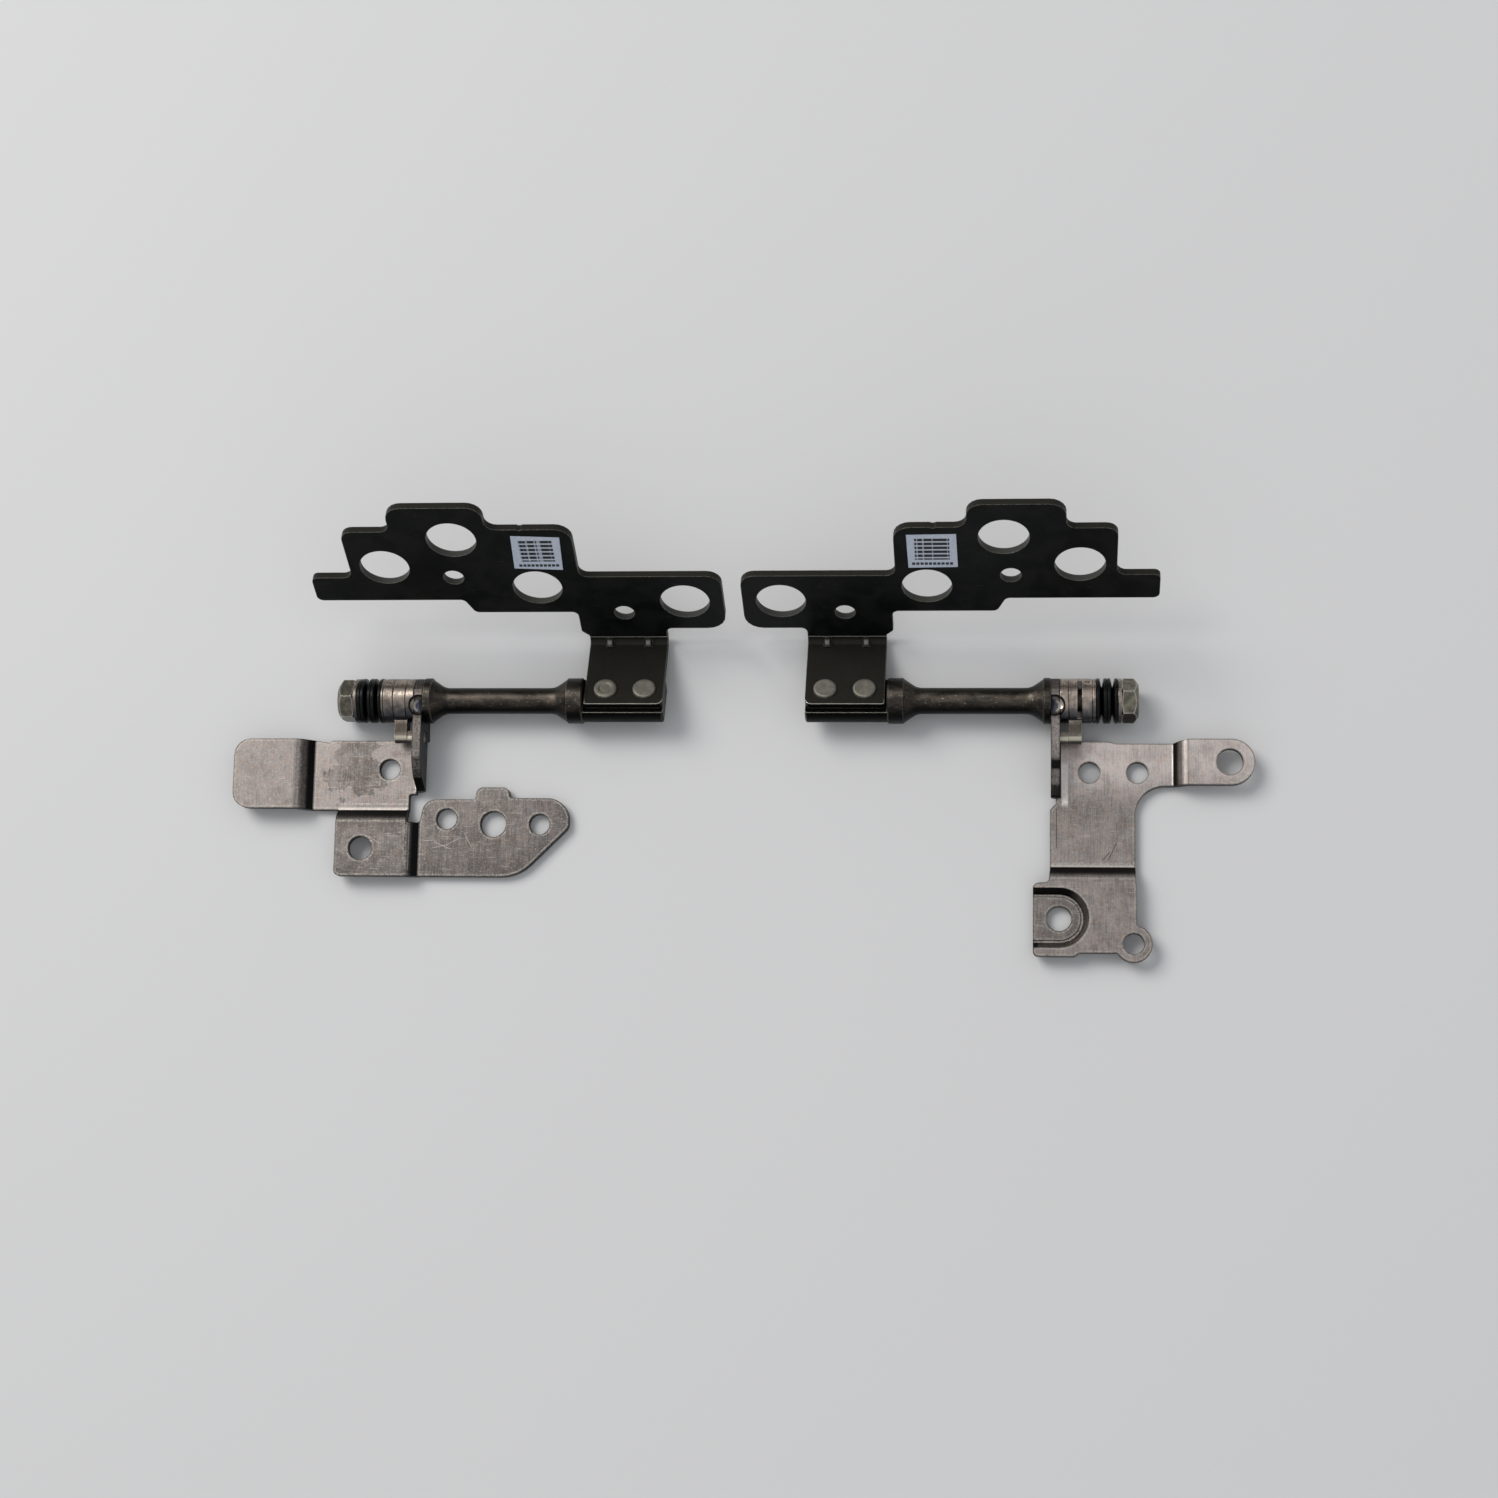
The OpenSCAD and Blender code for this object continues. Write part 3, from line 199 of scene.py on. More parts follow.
def world_light():
    """Soft room light: brighter overhead than at the horizon."""
    world = bpy.data.worlds.new("studio")
    world.use_nodes = True
    bpy.context.scene.world = world
    nodes, links = world.node_tree.nodes, world.node_tree.links
    coord = nodes.new("ShaderNodeTexCoord")
    split = nodes.new("ShaderNodeSeparateXYZ")
    ramp = nodes.new("ShaderNodeValToRGB")
    links.new(coord.outputs["Generated"], split.inputs[0])
    links.new(split.outputs["Z"], ramp.inputs["Fac"])
    ramp.color_ramp.elements[0].color = HORIZON
    ramp.color_ramp.elements[1].color = ZENITH
    links.new(ramp.outputs["Color"], nodes["Background"].inputs["Color"])
    nodes["Background"].inputs["Strength"].default_value = 1


def srgb(red, green, blue):
    """Colour from its 0 to 255 values on screen."""
    def linear(v):
        v /= 255
        return v / 12.92 if v <= 0.04045 else ((v + 0.055) / 1.055) ** 2.4
    return (linear(red), linear(green), linear(blue), 1)


def times(color, factor):
    """Colour made lighter or darker by a factor."""
    return tuple(part * factor for part in color[:3]) + (1,)


class Shader:
    """Builds a material from nodes. Each method returns an output socket; coordinates are millimetres."""

    def __init__(self, name):
        self.material = bpy.data.materials.new(name)
        self.material.use_nodes = True
        self.tree = self.material.node_tree
        self.surface = self.tree.nodes["Principled BSDF"]
        self.coord = self.make("ShaderNodeTexCoord")
        self.geometry = self.make("ShaderNodeNewGeometry")
        scale = self.make("ShaderNodeVectorMath", operation="SCALE")
        self.link(self.coord.outputs["Object"], scale.inputs[0])
        scale.inputs["Scale"].default_value = 1 / MM
        self.mm = scale.outputs[0]

    def make(self, kind, **settings):
        """New node with its settings."""
        node = self.tree.nodes.new(kind)
        for key, value in settings.items():
            setattr(node, key, value)
        return node

    def link(self, value, socket):
        """Connects another node's output to a socket, or sets it to a plain value."""
        if isinstance(value, bpy.types.NodeSocket):
            self.tree.links.new(value, socket)
        else:
            socket.default_value = value

    def set(self, **values):
        """Gives the surface its colour, roughness and so on, and returns the finished material."""
        for key, value in values.items():
            self.link(value, self.surface.inputs[key.replace("_", " ")])
        return self.material

    def math(self, operation, a, b=0.0):
        """One sum on one or two values."""
        node = self.make("ShaderNodeMath", operation=operation)
        self.link(a, node.inputs[0])
        self.link(b, node.inputs[1])
        return node.outputs[0]

    def all_of(self, *masks):
        """Where every mask holds: their product."""
        result = masks[0]
        for mask in masks[1:]:
            result = self.math("MULTIPLY", result, mask)
        return result

    def any_of(self, a, b):
        """Where either mask holds: the larger one."""
        return self.math("MAXIMUM", a, b)

    def part_of(self, mask, other, amount):
        """A mask weakened by an amount where another one holds."""
        return self.all_of(mask, self.math("SUBTRACT", 1.0, self.math("MULTIPLY", other, amount)))

    def ramp(self, value, low, high, to_low=0.0, to_high=1.0):
        """Smooth step of a value between two limits."""
        node = self.make("ShaderNodeMapRange", interpolation_type="SMOOTHSTEP")
        self.link(value, node.inputs["Value"])
        for key, number in (("From Min", low), ("From Max", high), ("To Min", to_low), ("To Max", to_high)):
            node.inputs[key].default_value = number
        return node.outputs["Result"]

    def band(self, value, low, high, soft):
        """1 from low to high and 0 outside, with soft ends."""
        return self.all_of(self.ramp(value, low - soft, low), self.ramp(value, high, high + soft, 1.0, 0.0))

    def noise(self, scale, detail=4, rough=0.55, distort=0, shift=(0, 0, 0), turn=0):
        """Noise with so many waves to the millimetre, even or along each axis."""
        mapping = self.make("ShaderNodeMapping")
        self.link(self.mm, mapping.inputs["Vector"])
        mapping.inputs["Scale"].default_value = scale if isinstance(scale, tuple) else (scale,) * 3
        mapping.inputs["Rotation"].default_value = (0, 0, math.radians(turn))
        mapping.inputs["Location"].default_value = shift
        node = self.make("ShaderNodeTexNoise")
        self.link(mapping.outputs[0], node.inputs["Vector"])
        for key, number in (("Scale", 1), ("Detail", detail), ("Roughness", rough), ("Distortion", distort)):
            node.inputs[key].default_value = number
        return node.outputs["Fac"]

    def mix(self, value, a, b, blend="MIX"):
        """Colour between two others, from the first at 0 to the second at 1."""
        node = self.make("ShaderNodeMix", data_type="RGBA", blend_type=blend)
        self.link(value, node.inputs["Factor"])
        self.link(a, node.inputs["A"])
        self.link(b, node.inputs["B"])
        return node.outputs["Result"]

    def paint(self, mask, amount, color, tint):
        """Lays a colour over another one, as strongly as the mask times an amount."""
        return self.mix(self.math("MULTIPLY", mask, amount), color, tint)

    def shade(self, mask, color, red, green=None, blue=None):
        """Multiplies a colour by a factor, or by one for each of its three parts."""
        factor = (red, red, red, 1) if green is None else (red, green, blue, 1)
        return self.mix(mask, color, factor, "MULTIPLY")

    def dot(self, vector, axis):
        """How far a vector reaches along an axis."""
        node = self.make("ShaderNodeVectorMath", operation="DOT_PRODUCT")
        self.link(vector, node.inputs[0])
        self.link(axis, node.inputs[1])
        return node.outputs["Value"]

    def toward(self, axis):
        """How far the surface faces one way: 1 if it does, -1 if it faces the other way."""
        return self.dot(self.coord.outputs["Normal"], axis)

    def facing(self, axis):
        """How far the surface faces along an axis of the part or away from it, from 0 to 1."""
        return self.math("ABSOLUTE", self.toward(axis))

    def place(self, axis, origin=(0, 0, 0)):
        """Distance in millimetres along an axis of the part, from an origin."""
        start = sum(a * o for a, o in zip(axis, origin))
        return self.math("SUBTRACT", self.dot(self.mm, axis), start)

    def from_middle(self, middle=MIDDLE):
        """Distance from the middle between the hinges, the same for both."""
        return self.math("ABSOLUTE", self.place(X_AXIS, middle))

    def distance(self, a, b):
        """Distance from a point, from the distances along two axes."""
        return self.math("SQRT", self.math("ADD", self.math("POWER", a, 2), self.math("POWER", b, 2)))

    def rounded(self, radius_mm):
        """Normal of the surface with its sharp edges rounded."""
        node = self.make("ShaderNodeBevel", samples=6)
        node.inputs["Radius"].default_value = radius_mm * MM
        return node.outputs["Normal"]

    def flatness(self, radius_mm):
        """1 on flat faces, falling towards an edge: to about 0.7 on a square one."""
        return self.dot(self.rounded(radius_mm), self.geometry.outputs["True Normal"])

    def edges(self, radius_mm, low=0.75, high=0.97):
        """1 on sharp edges, fading to 0 within a radius of them."""
        return self.ramp(self.flatness(radius_mm), low, high, 1.0, 0.0)

    def bump(self, height, strength, depth_mm, under):
        """Normal with a relief added to the one given."""
        node = self.make("ShaderNodeBump")
        node.inputs["Strength"].default_value = strength
        node.inputs["Distance"].default_value = depth_mm * MM
        self.link(height, node.inputs["Height"])
        self.link(under, node.inputs["Normal"])
        return node.outputs["Normal"]

    def stroke(self, start, end, width=0.035):
        """One straight mark between two points of the part's X and Y."""
        run = Vector(end) - Vector(start)
        way = run.normalized()
        along = self.place((way.x, way.y, 0), (*start, 0))
        across = self.math("ABSOLUTE", self.place((-way.y, way.x, 0), (*start, 0)))
        return self.all_of(self.band(along, 0, run.length, 0.3), self.ramp(across, width, width * 2, 1, 0))

    def scratches(self, turn, shift, amount, length=3.0, width=0.07):
        """Thin broken lines at an angle to the part's X axis."""
        lines = self.noise((1 / length, 1 / width, 0.3), detail=2, turn=turn, shift=shift)
        patches = self.noise(0.3, detail=2, shift=shift)
        return self.all_of(self.ramp(lines, amount, amount + 0.04), self.ramp(patches, 0.45, 0.6))

    def painted_shade_below(self, color, amount, tint):
        """Painted shade: darkens what faces down or forward."""
        under = self.ramp(self.toward(SHADED_FACING), -0.25, 0.55)
        return self.paint(under, amount, color, tint)

    def punch_painted_light(self, color, rough):
        """Punch mark over each ear: a dull bluish painted reflection in the hollow, a rim of painted shade
        and a bright painted highlight crescent.
        """
        hollow, crescent, rim = srgb(62, 66, 78), srgb(138, 134, 128), srgb(30, 29, 28)
        across = self.math("SUBTRACT", self.from_middle(), PUNCH_X)
        far = self.distance(across, self.place(Y_AXIS, PUNCH))
        top = self.ramp(self.place(Z_AXIS), *PUNCH_Z)
        # Painted reflection in the hollow, painted highlight on the crescent, painted shade on the rim
        color = self.mix(self.all_of(top, self.ramp(far, *PUNCH_HOLLOW, 0.9, 0)), color, hollow)
        lit = self.all_of(top, self.band(far, *PUNCH_HIGHLIGHT, 0.1), self.ramp(across, 0.05, 0.35))
        color = self.mix(lit, color, crescent)
        color = self.mix(self.all_of(top, self.band(far, *PUNCH_RIM_SHADE, 0.1)), color, rim)
        return color, self.math("ADD", rough, self.all_of(top, self.ramp(far, *PUNCH_HOLLOW, 0.25, 0)))


class BaseSteel(Shader):
    """Bare rolled steel: warm gray, mottled, brushed along the frame's Y, with painted light and shade on its
    plates, bend lines, edges and joggles.
    """

    def __init__(self):
        super().__init__("base_steel")
        self.x, self.y, self.z = self.place(X_AXIS), self.place(Y_AXIS), self.place(Z_AXIS)
        self.left = self.ramp(self.x, *BRACKETS_PART_X, 1, 0)
        self.right = self.ramp(self.x, *BRACKETS_PART_X)
        self.cloud = self.noise(0.16, detail=5, rough=0.62, distort=0.8)
        self.brush = self.noise((8, 0.35, 0.35), detail=3, rough=0.6)
        self.grit = self.noise(3.4, detail=5, rough=0.8)

    def tone(self):
        """How light each region is, from 0 to 1: painted light and shade for how the light falls on each
        plate and on the sunk pad, with the stain and the grain.
        """
        # Painted light: the left main plate and ear lighter, the right bracket lighter towards the back
        on_main = self.all_of(self.ramp(self.x, *LEFT_MAIN_END_X, 1, 0),
                              self.ramp(self.y, *LEFT_MAIN_FRONT_Y))
        on_ear = self.all_of(self.ramp(self.z, *EAR_FOOT_Z), self.ramp(self.x, *LEFT_EAR_X))
        left_painted_light = self.ramp(self.any_of(on_main, on_ear), 0, 1, 0.32, 0.74)
        right_painted_light = self.ramp(self.y, *RIGHT_TONE_Y, 0.6, 0.7)
        tone = self.math("ADD", self.all_of(self.left, left_painted_light), self.all_of(self.right, right_painted_light))
        wobble = self.ramp(self.noise(0.4, detail=3, shift=(2, 5, 0)), 0.3, 0.7, -1.5, 1.5)
        stain = self.all_of(self.band(self.math("ADD", self.x, wobble), *STAIN_X, 0.25),
                            self.band(self.math("ADD", self.y, wobble), *STAIN_Y, 0.25))
        # Painted shade on the right bracket's low front, the sunk pad
        in_front = self.all_of(self.right, self.ramp(self.z, *RIGHT_FRONT_Z, 1, 0),
                               self.ramp(self.y, *RIGHT_FRONT_Y, 1, 0))
        for mask, amount in ((stain, 0.38), (in_front, 0.25)):
            tone = self.math("SUBTRACT", tone, self.math("MULTIPLY", mask, amount))
        patch = self.noise(0.45, detail=6, rough=0.7, distort=0.3, shift=(7, 3, 0))
        tone = self.math("ADD", tone, self.ramp(self.cloud, 0.35, 0.65, -0.1, 0.1))
        tone = self.math("ADD", tone, self.ramp(patch, 0.38, 0.62, -0.12, 0.12))
        return self.math("ADD", tone, self.ramp(self.brush, 0.35, 0.65, -0.12, 0.12))

    def regions(self, color):
        """Painted light and shade as it falls on each plate: lighter on the right bracket's main plate,
        darker on the left one's wing, front and tab.
        """
        lit_plates = self.any_of(self.ramp(self.y, *RIGHT_MAIN_Y), self.ramp(self.y, *RIGHT_STEM_Y, 0, 0.15))
        color = self.shade(self.all_of(self.right, lit_plates), color, 2.0, 2.0, 2.02)
        shaded_plates = self.any_of(self.ramp(self.x, *WING_X), self.ramp(self.y, *LEFT_FRONT_Y, 0, 0.8))
        color = self.shade(self.all_of(self.left, shaded_plates), color, 0.72, 0.73, 0.75)
        return self.shade(self.all_of(self.left, self.ramp(self.x, *LEFT_TAB_X)), color, 0.85)

    def grain(self, color):
        """Cool and warm patches, light and dark specks, and fine scratches three ways."""
        speck, pit, scratch = srgb(206, 196, 188), srgb(74, 68, 65), srgb(206, 200, 190)
        hue = self.noise(1.3, detail=3, rough=0.7, shift=(4, 4, 0))
        color = self.shade(self.ramp(hue, 0.35, 0.55, 0.7, 0), color, 0.95, 1.01, 1.04)
        color = self.shade(self.ramp(hue, 0.5, 0.68), color, 1.07, 0.99, 0.93)
        color = self.mix(self.ramp(self.grit, 0.53, 0.68, 0, 0.4), color, speck)
        color = self.mix(self.ramp(self.grit, 0.47, 0.32, 0, 0.4), color, pit)
        for turn, shift in ((24, (1, 2, 0)), (-52, (5, 9, 0)), (78, (3, 4, 0))):
            color = self.paint(self.scratches(turn, shift, 0.66), 0.5, color, scratch)
        return color

    def bend_highlights(self, color):
        """Painted highlight lines where the sheet starts to bend."""
        broken = self.ramp(self.grit, 0.4, 0.58)
        over_pad = self.band(self.x, *LEFT_PAD_JOGGLE_X, 0.1)
        on_pad = self.ramp(self.y, *LEFT_PAD_Y, 1, 0)
        on_tab = self.ramp(self.y, *RIGHT_TAB_Y, 0, 0.3)
        main_1, main_2 = (self.band(self.y, *line) for line in LEFT_MAIN_BENDS_Y)
        front_1, front_2, front_3 = (self.band(self.y, *line) for line in RIGHT_FRONT_BENDS_Y)
        lines = (self.all_of(main_1, over_pad),
                 self.all_of(main_2, over_pad, broken),
                 self.all_of(self.left, self.band(self.x, *LEFT_TAB_BEND_X), broken),
                 self.all_of(self.left, self.band(self.x, *LEFT_PAD_BEND_X), on_pad, broken),
                 self.all_of(self.right, front_1),
                 self.all_of(self.right, front_2, broken),
                 self.all_of(self.right, front_3, broken),
                 self.all_of(self.right, self.band(self.x, *RIGHT_TAB_BEND_X), on_tab))
        for line in lines:
            color = self.paint(line, 0.5, color, srgb(200, 193, 186))
        return color

    def cut_edges(self, color):
        """A thin outline of painted shade on the cut faces, and a broken painted highlight line inside it."""
        flat = self.flatness(0.6)
        inner_highlight = self.all_of(self.band(flat, 0.92, 0.985, 0.015), self.ramp(self.grit, 0.4, 0.54, 0.1, 0.6))
        color = self.mix(inner_highlight, color, srgb(214, 207, 196))
        return self.mix(self.ramp(flat, 0.84, 0.9, 0.85, 0), color, srgb(40, 37, 35))

    def joggles(self, color):
        """Walls of the joggles in painted shade: black at the foot, lighter and streaked towards the crest.
        """
        wall_shade, shadow = srgb(28, 27, 26), srgb(50, 46, 44)
        upright = self.facing(Z_AXIS)
        slanted = self.ramp(upright, 0.5, 0.7)
        wall = self.ramp(upright, 0.72, 0.995, 1, 0)
        streaks = self.ramp(self.grit, 0.35, 0.6, 0.6, 1)
        crest = self.all_of(self.ramp(self.z, *JOGGLE_CREST_Z), streaks, slanted)
        wall = self.part_of(wall, crest, 0.6)
        # The right bracket's slopes that face left or back get only gray painted shade
        to_left = self.toward((-1, 0, 0))
        tab_slope = self.all_of(self.right, slanted, self.ramp(to_left, 0.2, 0.6),
                                self.ramp(self.z, *RIGHT_TAB_SLOPE_Z))
        at_pad = self.all_of(self.band(self.x, *SUNK_PAD_X, 0.1), self.band(self.y, *SUNK_PAD_Y, 0.1))
        away = self.any_of(self.ramp(to_left, 0.3, 0.7), self.ramp(self.toward(Y_AXIS), 0.3, 0.7))
        pad_slope = self.all_of(at_pad, away, self.ramp(self.z, *SUNK_PAD_SLOPE_Z))
        wall = self.part_of(wall, self.any_of(tab_slope, pad_slope), 0.6)
        # Painted shade on the crest and at the foot of the right tab's slope
        tab_crest = self.all_of(self.band(self.x, *RIGHT_TAB_CREST_X, 0.15), self.ramp(self.y, *RIGHT_TAB_Y))
        color = self.shade(tab_crest, color, 0.62)
        foot = self.all_of(self.band(self.x, *RIGHT_TAB_FOOT_X, 0.1),
                           self.ramp(self.y, *RIGHT_TAB_Y, 0, 0.6))
        color = self.mix(foot, color, shadow)
        color = self.mix(wall, color, wall_shade)
        # Shade on the two plates right in front of their joggle
        at_left = self.all_of(self.band(self.y, *PAD_SHADE_Y, 0.1), self.ramp(self.y, *PAD_SHADE_FADES_Y),
                              self.ramp(self.x, *LEFT_PAD_END_X, 1, 0))
        at_right = self.all_of(self.right, self.band(self.y, *FRONT_SHADE_Y, 0.1),
                               self.ramp(self.y, *FRONT_SHADE_FADES_Y))
        return self.paint(self.any_of(at_left, at_right), 0.5, color, shadow)

    def ears(self, color):
        """Darker along the ears' top edge, painted shade round the shaft, and a painted highlight where the
        right ear is folded up.
        """
        edge = self.all_of(self.band(self.from_middle(), *EAR_SIDE, 0.05), self.ramp(self.z, *EAR_TOP_Z),
                           self.band(self.y, *EAR_Y, 0.3), self.ramp(self.grit, 0.35, 0.6, 1, 0.65))
        color = self.shade(edge, color, 0.28)
        # Painted highlight on the fold
        fold_highlight = self.all_of(self.band(self.x, *FOLD_X, 0.25), self.band(self.y, *FOLD_Y, 0.8),
                           self.ramp(self.grit, 0.3, 0.6, 1, 0.5))
        color = self.mix(fold_highlight, color, srgb(236, 231, 226))
        # Painted shade on the ear's eye round the shaft
        eye_shade = self.all_of(self.ramp(self.z, *EYE_Z), self.ramp(self.y, *EYE_Y))
        return self.shade(eye_shade, color, 0.34, 0.33, 0.33)

    def marks(self, color):
        """The single marks, dark ones stronger than light ones."""
        for start, end, dark in MARKS:
            amount, tint = (0.8, srgb(50, 44, 40)) if dark else (0.4, srgb(196, 192, 184))
            color = self.paint(self.stroke(start, end), amount, color, tint)
        return color


def base_steel():
    """The base brackets' steel, layer by layer."""
    s = BaseSteel()
    color = s.mix(s.ramp(s.tone(), 0, 1), srgb(92, 86, 83), srgb(152, 143, 138))
    for layer in (s.regions, s.grain, s.bend_highlights, s.cut_edges, s.joggles, s.ears, s.marks):
        color = layer(color)
    color, rough = s.punch_painted_light(color, s.ramp(s.cloud, 0.3, 0.7, 0.46, 0.36))
    relief = s.bump(s.brush, 0.3, 0.012, s.bump(s.grit, 0.2, 0.02, s.rounded(0.1)))
    return s.set(Base_Color=color, Metallic=0.9, Roughness=rough, Normal=relief)


def turned_steel():
    """Turned washers and cams: fine rings round the shaft, painted bluish shade below, painted light that
    makes the right hinge brighter, and painted highlights on the edges.
    """
    dark, light, edge_highlight = srgb(112, 104, 97), srgb(164, 151, 140), srgb(220, 214, 202)
    s = Shader("bright_steel")
    rings = s.noise((11, 0.2, 0.2), detail=3, rough=0.6)
    cloud = s.noise(0.9, detail=4, distort=0.6)
    color = s.mix(s.ramp(cloud, 0.35, 0.65), dark, light)
    color = s.mix(s.ramp(rings, 0.5, 0.7, 0, 0.6), color, times(dark, 0.4))
    # Painted shade: bluish dark on what faces down or forward
    color = s.painted_shade_below(color, 0.85, srgb(60, 66, 75))
    # Painted light: the right hinge lit brighter
    color = s.shade(s.ramp(s.place(X_AXIS), *BRACKETS_PART_X), color, 1.35)
    # The cam's leg: darker, with painted shade next to the stack and one painted highlight line along its
    # rounded end
    y = s.place(Y_AXIS)
    color = s.mix(s.ramp(y, *LEG_Y, 0, 0.6), color, srgb(98, 93, 84))
    color = s.shade(s.band(y, *LEG_SHADE_Y, 0.6), color, 0.5, 0.5, 0.48)
    color = s.mix(s.band(y, *LEG_HIGHLIGHT_Y, 0.2), color, srgb(196, 190, 172))
    color, rough = s.punch_painted_light(color, s.ramp(cloud, 0.3, 0.7, 0.35, 0.25))
    # Painted highlight on the edges
    color = s.paint(s.edges(0.14), 0.6, color, edge_highlight)
    relief = s.bump(rings, 0.4, 0.01, s.rounded(0.07))
    return s.set(Base_Color=color, Metallic=1.0, Roughness=rough, Normal=relief)


def black_shaft():
    """Blackened steel, brown and worn, left brown along its top by painted shade on its back and lower side,
    with a few bright flecks and painted highlights on its edges.
    """
    dark, light, bright = srgb(56, 53, 49), srgb(88, 81, 73), srgb(186, 172, 160)
    s = Shader("shaft_steel")
    rings = s.noise((9, 0.2, 0.2), detail=2, rough=0.6)
    worn = s.noise((0.35, 0.9, 0.9), detail=5, rough=0.65, distort=0.4)
    fleck = s.noise((2.2, 5, 5), detail=3, rough=0.6)
    color = s.mix(s.ramp(worn, 0.35, 0.65), dark, light)
    color = s.mix(s.ramp(rings, 0.5, 0.8, 0, 0.3), color, srgb(44, 42, 42))
    color = s.mix(s.ramp(fleck, 0.62, 0.7, 0, 0.5), color, bright)
    # Painted shade on the side that faces back, and on what faces down or forward
    color = s.mix(s.ramp(s.toward(Y_AXIS), 0.1, 0.7, 0, 0.8), color, srgb(34, 35, 31))
    color = s.painted_shade_below(color, 0.95, srgb(12, 13, 14))
    # The milled tongue is blacker, with a painted highlight along its edge; other edges get broken painted
    # highlights
    tongue = s.ramp(s.from_middle(), *TONGUE_END, 1, 0)
    color = s.paint(tongue, 0.95, color, srgb(12, 12, 12))
    edge = s.all_of(s.edges(0.26), s.any_of(tongue, s.ramp(fleck, 0.35, 0.55, 0.2, 0.7)))
    color = s.paint(edge, 0.85, color, srgb(196, 190, 178))
    relief = s.bump(fleck, 0.4, 0.03, s.bump(rings, 0.35, 0.01, s.rounded(0.08)))
    rough = s.ramp(worn, 0.3, 0.7, 0.36, 0.48)
    return s.set(Base_Color=color, Metallic=1.0, Roughness=rough, Normal=relief)


def rough_metal(name, dark, light, roughness, below, corner):
    """Metal with a fine struck grain. Below is how much painted shade darkens its lower side, corner is how
    flat a worn edge may be and still get its painted highlight.
    """
    s = Shader(name)
    grain = s.noise(6, detail=4, rough=0.65)
    cloud = s.noise(1.2, detail=3)
    color = s.mix(s.ramp(cloud, 0.35, 0.65), dark, light)
    color = s.mix(s.ramp(grain, 0.5, 0.7, 0, 0.3), color, times(light, 1.5))
    # Painted shade on what faces down or forward
    color = s.painted_shade_below(color, below, srgb(44, 43, 41))
    # Painted highlight on the worn edges
    edge = s.all_of(s.edges(0.36, corner, corner + 0.1), s.ramp(grain, 0.35, 0.5, 0.5, 1))
    color = s.paint(edge, 0.9, color, srgb(224, 218, 204))
    relief = s.bump(grain, 0.5, 0.03, s.rounded(0.06))
    return s.set(Base_Color=color, Metallic=0.95, Roughness=roughness, Normal=relief)


def spring_black():
    """Oiled black spring steel, with a painted highlight on its edges."""
    s = Shader("spring_steel")
    grain = s.noise(3, detail=3)
    color = s.mix(s.ramp(grain, 0.4, 0.7), srgb(15, 17, 16), srgb(31, 34, 31))
    # Painted highlight on the edges
    color = s.paint(s.edges(0.05), 0.35, color, srgb(120, 118, 110))
    relief = s.bump(grain, 0.1, 0.02, s.rounded(0.06))
    return s.set(Base_Color=color, Metallic=0.8, Roughness=0.3, Normal=relief)


